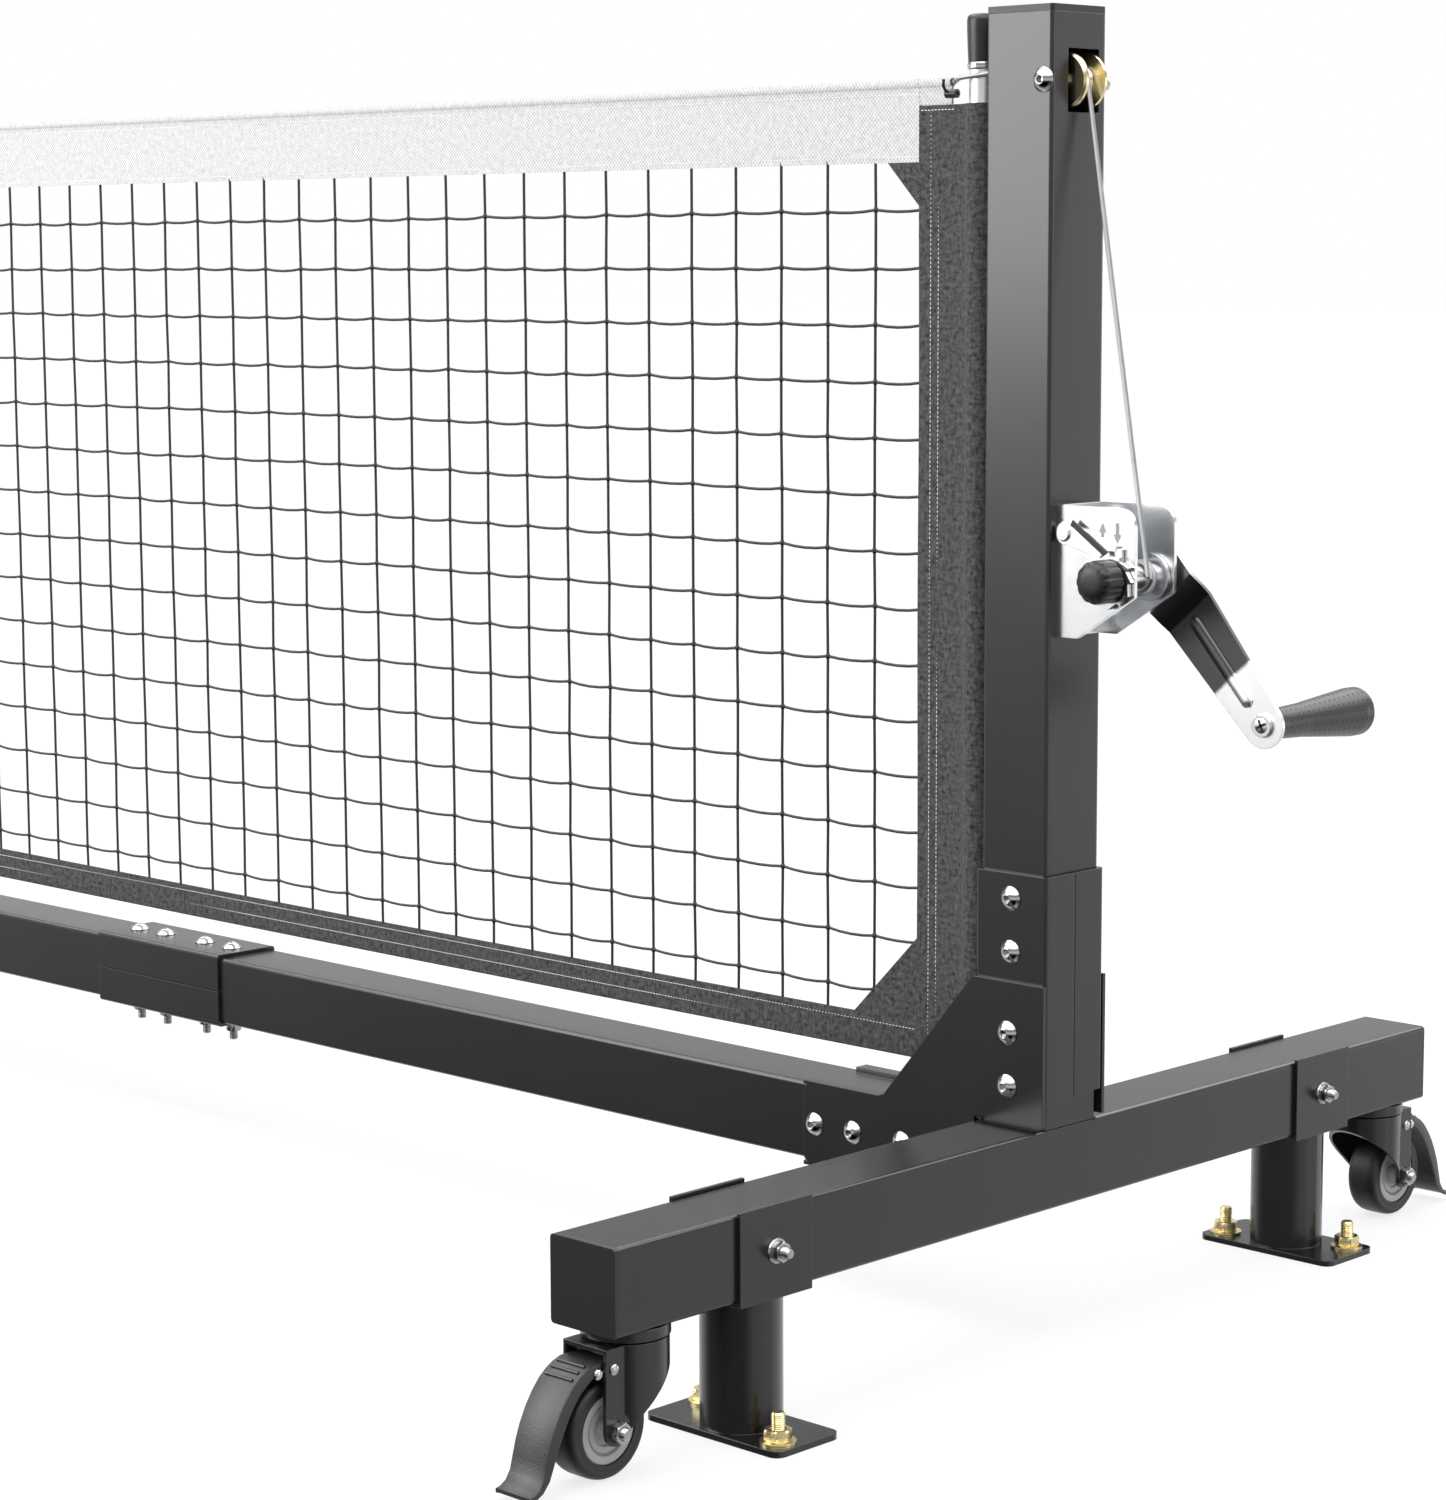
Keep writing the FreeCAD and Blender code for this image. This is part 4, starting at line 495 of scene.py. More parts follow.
class Build:
    """Points and faces gathered into one piece."""

    def __init__(self):
        self.points = []
        self.faces = []

    def ring(self, points):
        start = len(self.points)
        self.points.extend(tuple(point) for point in points)
        return list(range(start, len(self.points)))

    def skin(self, first, second):
        """Faces between two rings of the same length."""
        count = len(first)
        for index in range(count):
            after = (index + 1) % count
            self.faces.append((first[index], first[after], second[after], second[index]))

    def lid(self, ring, flip=False):
        self.faces.append(tuple(reversed(ring)) if flip else tuple(ring))

    def loft(self, rows, ends=True):
        """A skin over rows of points, closed at both ends unless told otherwise."""
        rings = [self.ring(row) for row in rows]
        for first, second in zip(rings, rings[1:]):
            self.skin(first, second)
        if ends:
            self.lid(rings[0], True)
            self.lid(rings[-1])

    def turned(self, profile, steps, matrix, reach=None, ends=True):
        """A solid of revolution about +Z; reach(angle, radius, height) may change any radius."""
        rows = []
        for radius, height in profile:
            row = []
            for angle in turns_of(steps):
                out = reach(angle, radius, height) if reach else radius
                row.append(matrix @ Vector((out * math.cos(angle), out * math.sin(angle), height)))
            rows.append(row)
        self.loft(rows, ends)

    def tube(self, line, radius, sides=6):
        """A round tube along a list of points."""
        rows = []
        last = len(line) - 1
        for index, point in enumerate(line):
            ahead = line[min(index + 1, last)] - line[max(index - 1, 0)]
            ahead.normalize()
            side = ahead.cross(BACK)
            if side.length < 0.1:
                side = ahead.cross(RIGHT)
            side.normalize()
            other = ahead.cross(side)
            rows.append([
                point + side * (radius * math.cos(angle)) + other * (radius * math.sin(angle))
                for angle in turns_of(sides)])
        self.loft(rows)

    def plate(self, outline, low, high, back=True):
        """A flat plate across Y from an outline in X and Z, open behind where it is let in."""
        front, rear = (self.ring([Vector((x, y, z)) for x, z in outline]) for y in (low, high))
        self.skin(front, rear)
        self.lid(front)
        if back:
            self.lid(rear, True)

    def block(self, centre, across, along, deep, size):
        """A block from its centre, three directions and its sizes."""
        quarters = ((-0.5, -0.5), (0.5, -0.5), (0.5, 0.5), (-0.5, 0.5))
        self.loft([[
            centre + across * (a * size[0]) + along * (b * size[1]) + deep * (share * size[2])
            for a, b in quarters] for share in (-0.5, 0.5)])

    def piece(self, name, material, body="frame", stands_for=None, sharp=35, smooth=True):
        """The finished piece, riding on a body, in place of a CAD node where it stands for one."""
        mesh = bpy.data.meshes.new(name)
        mesh.from_pydata(self.points, [], self.faces)
        mesh.materials.append(material)
        shell = bmesh.new()
        shell.from_mesh(mesh)
        bmesh.ops.recalc_face_normals(shell, faces=shell.faces)
        shell.to_mesh(mesh)
        shell.free()
        mesh.update()
        item = bpy.data.objects.new(name, mesh)
        bpy.context.scene.collection.objects.link(item)
        if smooth:
            mesh.polygons.foreach_set("use_smooth", [True] * len(mesh.polygons))
            mesh.set_sharp_from_angle(angle=math.radians(sharp))
        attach(item, body)
        if stands_for:
            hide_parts(stands_for)
        return item


AXES = {
    "+Z": Matrix.Identity(4),
    "-Y": Matrix.Rotation(math.pi / 2, 4, "X"),
    "-Z": Matrix.Rotation(math.pi, 4, "X"),
    "+Y": Matrix.Rotation(-math.pi / 2, 4, "X"),
    "+X": Matrix.Rotation(math.pi / 2, 4, "Y"),
    "-X": Matrix.Rotation(-math.pi / 2, 4, "Y"),
}


def facing(point, way, spin=0.0):
    """A matrix that puts a piece's +Z the given way at a point."""
    return Matrix.Translation(point) @ AXES[way] @ Matrix.Rotation(spin, 4, "Z")


def lumps(node):
    """The box of each separate solid in a CAD node."""
    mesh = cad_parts[node].data
    keys = {}
    owner = []
    for vertex in mesh.vertices:
        key = tuple(round(value, 5) for value in vertex.co)
        owner.append(keys.setdefault(key, len(keys)))
    parent = list(range(len(keys)))

    def root(index):
        while parent[index] != index:
            parent[index] = parent[parent[index]]
            index = parent[index]
        return index

    for edge in mesh.edges:
        first, second = (root(owner[vertex]) for vertex in edge.vertices)
        if first != second:
            parent[first] = second
    boxes = {}
    for key, index in keys.items():
        low, high = boxes.setdefault(root(index), (list(key), list(key)))
        for axis in range(3):
            low[axis] = min(low[axis], key[axis])
            high[axis] = max(high[axis], key[axis])
    return [(Vector(low), Vector(high)) for low, high in boxes.values()]


# ---------------------------------------------------------- bolts and nuts

HEAD_RADIUS = 0.009
HEAD_HEIGHT = 0.0055
SOCKET_ACROSS = 0.005
SOCKET_DEEP = 0.003
SHANK = 0.004
THREAD_PITCH = 0.00125
THREAD_LONG = 0.024
NUT_ACROSS = 0.013
LOCK_COLLAR = 0.0035
TINY = 0.0001
HEX_EDGE, HEX_ROUNDED = -1, -2


def hexagon_reach(angle, across):
    """How far a hexagon's side is from its middle, in one direction."""
    part = (angle + math.pi / 6) % (math.pi / 3) - math.pi / 6
    return across / 2 / math.cos(part)


def threaded(radius, depth, pitch, low, high):
    """The outline of a threaded rod's end, with its corner turned off."""
    outline = []
    turns = int((high - low - 0.001) / pitch)
    for turn in range(turns):
        outline.append((radius, low + turn * pitch))
        outline.append((radius - depth, low + (turn + 0.5) * pitch))
    return outline + [(radius, low + turns * pitch), (radius - 0.001, high)]


def button_bolt(build, head, way, length, thread_length, spin):
    """A round-headed bolt with a hexagon socket, the flat of its head at a point."""
    ball = (HEAD_RADIUS ** 2 + HEAD_HEIGHT ** 2) / (2 * HEAD_HEIGHT)
    tip = 0.001 - length
    profile = [(SHANK - 0.001, -length), (SHANK, tip)]
    turns = int((thread_length - 0.001) / THREAD_PITCH)
    for turn in range(turns):
        start = tip + turn * THREAD_PITCH
        profile += [(SHANK, start), (SHANK - 0.0006, start + THREAD_PITCH / 2)]
    profile += [(SHANK, tip + turns * THREAD_PITCH), (SHANK, 0),
                (HEAD_RADIUS - 0.0004, 0), (HEAD_RADIUS, 0.0005)]
    steps = 9
    socket_edge = SOCKET_ACROSS / 2 + 0.0006
    for step in range(1, steps + 1):
        reach = HEAD_RADIUS + (socket_edge - HEAD_RADIUS) * step / steps
        profile.append((reach, math.sqrt(ball ** 2 - reach ** 2) - (ball - HEAD_HEIGHT)))
    rim = profile[-1][1]
    profile += [(HEX_EDGE, rim - 0.0002), (HEX_EDGE, rim - SOCKET_DEEP)]

    def reach(angle, radius, _):
        return hexagon_reach(angle, SOCKET_ACROSS) if radius == HEX_EDGE else radius

    build.turned(profile, 36, facing(head, way, spin), reach)


def chamfered_nut(build, seat, way, across, high, hole, flange=0.0, spin=0.0):
    """A hexagon nut with its corners turned off, on a flange where it has one."""
    inner = across / 2
    corner = inner / math.cos(math.pi / 6)

    def reach(angle, radius, _):
        if radius >= 0:
            return radius
        side = hexagon_reach(angle, across)
        return min(side, inner + TINY) if radius == HEX_ROUNDED else side

    base = 0.0
    profile = [(hole, 0.0)]
    if flange:
        base = 0.0016
        profile += [(flange - 0.0003, 0.0), (flange, 0.0004), (flange - 0.0006, base)]
    slope = (corner - inner) * 0.6
    profile += [(HEX_ROUNDED, base), (HEX_EDGE, base + slope), (HEX_EDGE, high - slope),
                (HEX_ROUNDED, high), (hole + 0.0007, high), (hole, high - 0.0007), (hole, 0.0)]
    build.turned(profile, 48, facing(seat, way, spin), reach, ends=False)


def frame_bolts():
    """Every round-headed bolt of the frame: heads up on the beam, forward on the posts."""
    random.seed(7)
    bolts = Build()
    for low, high in lumps("frame_bolts"):
        size, head = high - low, middle(low, high)
        spin = random.uniform(0, math.pi / 3)
        if size.z > size.y:
            head.z = high.z - HEAD_HEIGHT
            button_bolt(bolts, head, "+Z", size.z - HEAD_HEIGHT, THREAD_LONG, spin)
        else:
            head.y = low.y + HEAD_HEIGHT
            button_bolt(bolts, head, "-Y", size.y - HEAD_HEIGHT, THREAD_LONG, spin)
    bolts.piece("frame_bolts_socketed", CHROME, stands_for="frame_bolts", sharp=28)


def nuts(node, name, material, across, flange, hole, collar=0.0, hanging=False):
    """Chamfered nuts in the places of a CAD node's plain ones; hanging ones seat upwards."""
    random.seed(11)
    build = Build()
    for low, high in lumps(node):
        size, seat = high - low, middle(low, high)
        spin = random.uniform(0, math.pi / 3)
        thin = min(range(3), key=lambda axis: size[axis])
        outward = low.x if seat.x > MID_X else high.x
        if thin == 0:
            way = "+X" if seat.x > MID_X else "-X"
            seat.x = outward
        elif thin == 1:
            seat.y, way = low.y, "+Y"
        elif hanging:
            seat.z, way = high.z, "-Z"
        else:
            seat.z, way = low.z, "+Z"
        chamfered_nut(build, seat, way, across, size[thin] + collar, hole, flange, spin)
    build.piece(name, material, stands_for=node, sharp=28)


frame_bolts()
nuts("frame_nuts", "frame_flange_nuts", DULL_ZINC, NUT_ACROSS, 0.0088, SHANK,
     collar=LOCK_COLLAR, hanging=True)
nuts("anchor_cross_nuts", "saddle_flange_nuts", DULL_ZINC, NUT_ACROSS, 0.009, SHANK)
nuts("floor_nuts", "floor_hexagon_nuts", YELLOW, 0.017, 0.0, 0.005)


# ---------------------------------------------------------- bands


def arc(centre, radius, start, end, steps):
    """Points on an arc between two angles in degrees."""
    points = []
    for step in range(steps + 1):
        angle = math.radians(start + (end - start) * step / steps)
        points.append((centre[0] + radius * math.cos(angle), centre[1] + radius * math.sin(angle)))
    return points


def cloth_outline(section):
    """Both faces of a folded cloth from its middle line, each point with its place on the cloth."""
    lengths = [0.0]
    for first, second in zip(section, section[1:]):
        lengths.append(lengths[-1] + math.hypot(second[0] - first[0], second[1] - first[1]))
    last = len(section) - 1
    outline = []
    for side, order in ((1, range(last + 1)), (-1, range(last, -1, -1))):
        for index in order:
            before, after = section[max(index - 1, 0)], section[min(index + 1, last)]
            run = Vector((after[0] - before[0], after[1] - before[1]))
            run.normalize()
            off = Vector((-run.y, run.x)) * (CANVAS_THICK / 2) * side
            here = section[index]
            outline.append((here[0] + off.x, here[1] + off.y, lengths[index]))
    return outline


def lay_flat(item, places):
    """Gives each corner of a piece's faces its place on the flat cloth, from its vertex."""
    layer = item.data.uv_layers.new(name="flat cloth")
    for place, corner in zip(layer.data, item.data.loops):
        place.uv = places[corner.vertex_index]


def folded_strip(name, section, material, flat, run, stands_for=None):
    """A strip of canvas folded to a section and run along a line, as a thin closed shell.

    section: points of the cloth's middle line, in the plane across the strip.
    run: the number of stations, a function from 0..1 to a station's place, and the
    directions of the section's two axes.
    """
    count, place, across, deep = run
    stations = [place(index / (count - 1)) for index in range(count)]
    outline = cloth_outline(section)
    build = Build()
    build.loft([[spot + across * a + deep * b for a, b, _ in outline] for spot in stations])
    item = build.piece(name, material, stands_for=stands_for, sharp=50)
    travel = [0.0]
    for first, second in zip(stations, stations[1:]):
        travel.append(travel[-1] + (second - first).length)
    lay_flat(item, [(s, along) for along in travel for _, _, s in outline])


HEM_RADIUS = 0.0031
HEM_LINE = HEAD_TOP - 0.0035
HEAD_GAP = 0.0008
HEAD_END = 0.1165


def headband():
    """White canvas folded over the rope: a round hem on top, two layers down to the mesh."""
    neck = math.degrees(math.asin(HEAD_GAP / HEM_RADIUS))
    hem = arc((0, HEM_LINE), HEM_RADIUS, -90 - neck + 360, -90 + neck, 14)
    long = RIGHT_EDGE - LEFT_EDGE

    def sewn(*heights):
        front = [(-HEAD_GAP, height) for height in heights]
        return front + hem + [(-x, height) for x, height in reversed(front)]

    def at(share):
        x = LEFT_EDGE + long * share
        return Vector((x, 0.0003 * math.sin(x * 11) + 0.0002 * math.sin(x * 27), 0))

    folded_strip("headband_canvas", sewn(HEAD_LOW, HEAD_LOW + 0.03), WHITE_CANVAS,
                 (2 * (HEAD_TOP - HEAD_LOW), long), (260, at, BACK, UP), "headband")
    end_low = BAND_TOP + 0.0004
    for end in ENDS:
        low, high = sorted((end_x(end, -SIDE_EDGE), end_x(end, -HEAD_END)))
        folded_strip(f"headband_end_{end}", sewn(end_low), WHITE_CANVAS,
                     (2 * (HEAD_TOP - end_low) + 0.004, high - low),
                     (3, lambda share: Vector((low + (high - low) * share, 0, 0)), BACK, UP))


def side_bands():
    """Black canvas folded round each pole and sewn to itself down its inner edge."""
    inner = SIDE_EDGE - POLE_INSET
    wrap, spread = POLE_RADIUS + 0.0012, 38
    throat = (-wrap * math.cos(math.radians(spread)) - 0.009, -0.0022)
    front = [(-inner, -0.0011), (-inner * 0.72, -0.0012), throat]
    back = [(x, -y) for x, y in reversed(front)]
    section = front + arc((0, 0), wrap, 180 + spread, 540 - spread, 26) + back
    for end, sign in ENDS.items():
        pole = end_x(end, -POLE_INSET)

        def at(share):
            z = BAND_LOW + (BAND_TOP - BAND_LOW) * share
            return Vector((pole, 0.0004 * math.sin(z * 19 + 1), z))

        folded_strip(f"side_band_{end}", section, BLACK_CANVAS,
                     (2 * inner + 0.034, BAND_TOP - BAND_LOW), (40, at, RIGHT * sign, BACK),
                     "side_bands" if end == "winch" else None)


def bottom_band():
    """Black canvas folded in two along the foot of the mesh."""
    front = [(-0.0008, HEM_TOP), (-0.0013, (HEM_LOW + HEM_TOP) / 2), (-0.0011, HEM_LOW + 0.002)]
    fold = arc((0, HEM_LOW + 0.0015), 0.0011, 180, 360, 6)
    section = front + fold + [(-x, z) for x, z in reversed(front)]
    long = RIGHT_EDGE - LEFT_EDGE

    def at(share):
        x = LEFT_EDGE + long * share
        return Vector((x, 0.0006 * math.sin(x * 7 + 2), 0.0008 * math.sin(x * 4.3)))

    folded_strip("bottom_band_canvas", section, BLACK_CANVAS,
                 (2 * (HEM_TOP - HEM_LOW), long), (220, at, BACK, UP), "bottom_band")


def corner_patches():
    """Doubled canvas triangles where the side bands meet the head and bottom bands."""
    lap, half_thick = 0.002, 0.0012
    for end in ENDS:
        for name, z, leg, up in (("top", HEAD_LOW, 0.031, -1), ("low", HEM_TOP, 0.064, 1)):
            corner = end_x(end, -SIDE_EDGE + 0.001)
            reach = end_x(end, -SIDE_EDGE - leg)
            outline = [(corner, z - up * lap), (corner, z + up * (leg + lap)),
                       (reach, z), (reach, z - up * lap)]
            build = Build()
            build.plate(outline, -half_thick, half_thick)
            item = build.piece(f"corner_patch_{end}_{name}", BLACK_CANVAS, smooth=False)
            lay_flat(item, [(vertex.co.x, vertex.co.z) for vertex in item.data.vertices])


# ---------------------------------------------------------- stitches

STITCH = 0.0021
STITCH_PITCH = STITCH + 0.0012
STITCH_WIDE = 0.00035
SEAMS_IN = (0.1354, 0.128)
SEAM_OFF = 0.0017


def stitch_line(build, start, end, out):
    """A row of stitches between two points; out is the way off the cloth."""
    run = end - start
    direction = run.normalized()
    side = direction.cross(out).normalized()
    for index in range(int(run.length / STITCH_PITCH)):
        begin = start + direction * (index * STITCH_PITCH)
        rows = []
        for share, plump in ((0.0, 0.6), (0.5, 1.1), (1.0, 0.6)):
            centre = begin + direction * (STITCH * share) + out * (0.0003 * (plump - 0.8))
            wide = STITCH_WIDE * plump
            high = STITCH_WIDE * 0.8 * plump
            rows.append([centre + side * (wide * math.cos(angle)) + out * (high * math.sin(angle))
                         for angle in (math.pi * turn / 3 for turn in range(4))])
        build.loft(rows)


def stitching():
    """White stitches on both faces: down each side band, and along the head and bottom bands."""
    build = Build()
    for face in (-1, 1):
        out = Vector((0, face, 0))

        def sew(x, z, to_x, to_z, off=SEAM_OFF, to_off=None):
            stitch_line(build, Vector((x, face * off, z)),
                        Vector((to_x, face * (to_off or off), to_z)), out)

        for end in ENDS:
            for x in (end_x(end, -inset) for inset in SEAMS_IN):
                sew(x, BAND_LOW + 0.004, x, BAND_TOP - 0.004)
            row = BAND_TOP - 0.0035
            sew(end_x(end, -0.145), row, end_x(end, -0.112), row, to_off=0.0027)
        for row, off in ((HEM_TOP - 0.005, 0.0018), (HEM_TOP - 0.0165, 0.0018),
                         (HEM_LINE - 0.0075, 0.0013), (HEAD_LOW + 0.004, 0.0013)):
            sew(LEFT_EDGE, row, RIGHT_EDGE, row, off)
    build.piece("white_stitches", THREAD)


# ---------------------------------------------------------- mesh

TWINE_RADIUS = 0.00115
TWINE_COLUMN = 0.0477
TWINE_ROW = 0.0419
FIRST_COLUMN = 0.191
FIRST_ROW_DROP = 0.0345
KNOT = ((-0.0022, 0.0011), (-0.0011, 0.0019), (0.0004, 0.0021), (0.0016, 0.0015), (0.0024, 0.001))


def knot(build, centre):
    """A small tight knot, wider than the twine."""
    rows = []
    for height, reach in KNOT:
        twist = height * 300
        rows.append([
            centre + Vector((reach * 1.05 * math.cos(angle), reach * math.sin(angle), height))
            for angle in (math.pi * step / 3 + twist for step in range(6))])
    build.loft(rows)


def spaced(start, stop, pitch):
    """Places from start down to stop, a pitch apart."""
    places = []
    while start > stop:
        places.append(start)
        start -= pitch
    return places


def net_mesh():
    """Knotted twine: uprights, and rows that dip a little from knot to knot."""
    random.seed(23)
    columns = spaced(end_x("winch", -FIRST_COLUMN), LEFT_EDGE + 0.02, TWINE_COLUMN)
    rows = spaced(HEAD_LOW - FIRST_ROW_DROP, HEM_TOP + 0.012, TWINE_ROW)
    knots = {}
    for i, x in enumerate(columns):
        for j, z in enumerate(rows):
            across = random.uniform(-0.0005, 0.0005)
            knots[i, j] = Vector((x + across, 0, z + random.uniform(-0.0006, 0.0006)))
    build = Build()
    for i, x in enumerate(columns):
        line = [knots[i, j] for j in range(len(rows))]
        top, foot = Vector((x, 0, HEAD_LOW + 0.002)), Vector((x, 0, HEM_TOP - 0.002))
        build.tube([top, *line, foot], TWINE_RADIUS)
    steps = 4
    for j, z in enumerate(rows):
        stops = [Vector((RIGHT_EDGE + 0.001, 0, z))] + [knots[i, j] for i in range(len(columns))]
        stops.append(Vector((LEFT_EDGE - 0.001, 0, z)))
        line = []
        for first, second in zip(stops, stops[1:]):
            dip = 0.0016 + random.uniform(-0.0004, 0.0008)
            for share in (step / steps for step in range(steps)):
                point = first.lerp(second, share)
                point.z -= 4 * dip * share * (1 - share) * 0.8
                line.append(point)
        build.tube([*line, stops[-1]], TWINE_RADIUS)
    for point in knots.values():
        knot(build, point)
    build.piece("net_mesh", TWINE, stands_for="net_panel", sharp=80)


headband()
side_bands()
bottom_band()
corner_patches()
stitching()
net_mesh()


# ---------------------------------------------------------- winch dressing

CRANK_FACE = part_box("crank_arm")[1][1] - 0.003
NO_HOLE = TINY


def knob():
    """A round knob with shallow flutes round its rim and a domed face."""
    low, high = corners("winch_knob")
    centre = middle(low, high)
    radius = (high.x - low.x) / 2
    deep = high.y - low.y
    profile = [(0.0062, 0.0), (radius - 0.002, 0.0), (radius, 0.0012)]
    profile += [(radius - inset, deep * share) for inset, share in (
        (0, 0.70), (0.0006, 0.80), (0.0022, 0.90), (0.0050, 0.965), (0.0090, 0.992))]
    profile += [(0.003, deep), (0.0004, deep)]
    flutes, flute_deep = 12, 0.0007

    def fluted(angle, reach, height):
        if reach < radius - 0.003 or height < 0.0005:
            return reach
        return reach - flute_deep * (0.5 - 0.5 * math.cos(angle * flutes)) ** 3

    build = Build()
    build.turned(profile, 144, facing(Vector((centre.x, high.y, centre.z)), "-Y"), fluted)
    build.piece("winch_knob_fluted", KNOB_BLACK, "crank", "winch_knob", sharp=40)


def winch_marks():
    """Two plain arrows, up and down, that show which way the pawl is set."""
    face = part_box("winch_frame")[0][1]
    half = [(0.0015, -0.0075), (0.0015, 0.0005), (0.0034, 0.0005), (0.0, 0.0075)]
    shape = [(-0.0015, -0.0075)] + half + [(-0.0034, 0.0005), (-0.0015, 0.0005)]
    build = Build()
    for x, way in ((end_x("winch", 0.041), 1), (end_x("winch", 0.054), -1)):
        outline = [(x + a, 0.594 + way * b) for a, b in shape]
        build.plate(outline, face - 0.00012, face + 0.00005, back=False)
    build.piece("winch_arrows", INK, smooth=False)


def pawl():
    """A lever with a big round eye, a dark spring strip along it and a bent tab at its tip."""
    low, high = corners("pawl")
    eye_x, eye_z = WINCH_FACE + 0.009, WINCH_Z + 0.0315
    outline = arc((eye_x + 0.0008, eye_z), 0.0080, 62, 262, 16)
    outline += [(eye_x + 0.012, eye_z - 0.0105), (eye_x + 0.030, eye_z - 0.0165)]
    outline += [(eye_x + a, WINCH_Z + b) for a, b in (
        (0.038, 0.0208), (0.046, 0.0208), (0.047, 0.0245), (0.038, 0.029))]
    lever = Build()
    lever.plate(outline, low.y, high.y)
    eye = [(NO_HOLE, 0), (0.0058, 0), (0.0058, 0.0008), (0.0044, 0.0014), (NO_HOLE, 0.0015)]
    lever.turned(eye, 32, facing(Vector((eye_x, low.y, eye_z)), "-Y"))
    lever.piece("pawl_lever", ZINC, "pawl", "pawl", sharp=30)
    first = Vector((WINCH_FACE + 0.0165, low.y - 0.0006, 0.6005))
    last = Vector((WINCH_FACE + 0.0480, low.y - 0.0006, 0.5790))
    run = (last - first).normalized()
    size = ((last - first).length, 0.0042, 0.0011)
    strip = Build()
    strip.block((first + last) / 2, run, BACK.cross(run).normalized(), BACK, size)
    strip.piece("pawl_spring", CAP_BLACK, "pawl", smooth=False)
    tab = Build()
    centre = Vector((WINCH_FACE + 0.0575, low.y + 0.0016, 0.5775))
    tab.block(centre, RIGHT, UP, BACK, (0.0060, 0.0125, 0.0024))
    tab.piece("pawl_tab", ZINC, "pawl", smooth=False)


def rope_coil():
    """The turns of rope on the drum, as a tight coil."""
    low, high = corners("rope_turns")
    centre = middle(low, high)
    strand, pitch = 0.00172, 0.0036
    radius = (high.x - low.x) / 2 - strand
    start, end = low.y + strand, high.y - strand
    turns = (end - start) / pitch
    steps = int(turns * 40)
    line = []
    for share in (step / steps for step in range(steps + 1)):
        angle = 2 * math.pi * turns * share
        line.append(Vector((centre.x + radius * math.cos(angle), start + (end - start) * share,
                            centre.z + radius * math.sin(angle))))
    build = Build()
    build.tube(line, strand, 10)
    build.piece("drum_coil", ROPE, "crank", "rope_turns")


def crank_rib():
    """The long rounded rib pressed forward out of the crank's plate."""
    run = Vector(CRANK_WAY)
    side = Vector((-run.z, 0, run.x))
    hub = Vector((DRUM_X, CRANK_FACE, WINCH_Z))
    first, last, wide, high = 0.038, 0.117, 0.0050, 0.0022
    steps, round_steps = 28, 12
    rows = []
    for share in (step / steps for step in range(steps + 1)):
        place = first + (last - first) * share
        from_end = min(share, 1 - share) * (last - first)
        fade = math.sqrt(max(0.0, 1 - max(0.0, 1 - from_end / wide) ** 2)) * 0.98 + 0.02
        row = []
        for turn in range(round_steps + 1):
            angle = math.pi * turn / round_steps
            proud = -0.0002 - math.sin(angle) * high * fade if 0 < turn < round_steps else 0.0003
            row.append(hub + run * place + side * (math.cos(angle) * wide * fade) + BACK * proud)
        rows.append(row)
    build = Build()
    build.loft(rows)
    build.piece("crank_rib", CRANK_PLATE, "crank")


def crank_screw():
    """The domed screw head at the crank's end, its cross-shaped slot a black cross laid on the dome
    as painted shade.
    """
    top = Vector((GRIP_X, CRANK_FACE - TINY, GRIP_Z))
    dome = [(NO_HOLE, 0), (0.0082, 0), (0.0082, 0.0012), (0.0074, 0.0019), (0.005, 0.0025),
            (NO_HOLE, 0.0027)]
    head = Build()
    head.turned(dome, 40, facing(top, "-Y"))
    head.piece("crank_screw_head", ZINC, "crank", sharp=40)
    # Painted shade: the slot is not cut; a black cross stands on the dome where the slot's shade
    # falls.
    slot = Build()
    for spin in (math.radians(25), math.radians(115)):
        way = Vector((math.cos(spin), 0, math.sin(spin)))
        across = Vector((-way.z, 0, way.x))
        slot.block(top - BACK * 0.0022, way, across, BACK, (0.0092, 0.0019, 0.0012))
    slot.piece("crank_screw_slot_shade", CAP_BLACK, "crank", smooth=False)


def pulley_fixings():
    """The pulley's socket-headed bolt, its nut behind the post and the two spacers."""
    wheel_low, wheel_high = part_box("pulley")
    at = middle(*corners("pulley"))
    front, back = POST[0][1], POST[1][1]
    wall, slack = 0.0022, 0.0003
    build = Build()
    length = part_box("pulley_axle")[1][1] - front
    button_bolt(build, Vector((at.x, front, at.z)), "-Y", length, 0.012, 0.3)
    chamfered_nut(build, Vector((at.x, back, at.z)), "+Y", NUT_ACROSS, 0.007, SHANK, spin=0.2)
    for low, high in ((front + wall, wheel_low[1] - slack), (wheel_high[1] + slack, back - wall)):
        long = high - low
        build.turned([(SHANK, 0), (0.006, 0), (0.006, long), (SHANK, long)], 32,
                     facing(Vector((at.x, low, at.z)), "+Y"))
    build.piece("pulley_fixings", CHROME, stands_for="pulley_axle", sharp=28)


def floor_studs():
    """Threaded studs that stand up through the floor nuts."""
    build = Build()
    radius = 0.005
    for low, high in lumps("floor_bolts"):
        centre, long = middle(low, high), high.z - low.z
        outline = [(NO_HOLE, 0), (radius, 0), *threaded(radius, 0.0007, 0.0015, 0.002, long),
                   (NO_HOLE, long)]
        build.turned(outline, 32, facing(Vector((centre.x, centre.y, low.z)), "+Z"))
    build.piece("floor_studs", YELLOW, stands_for="floor_bolts", sharp=50)


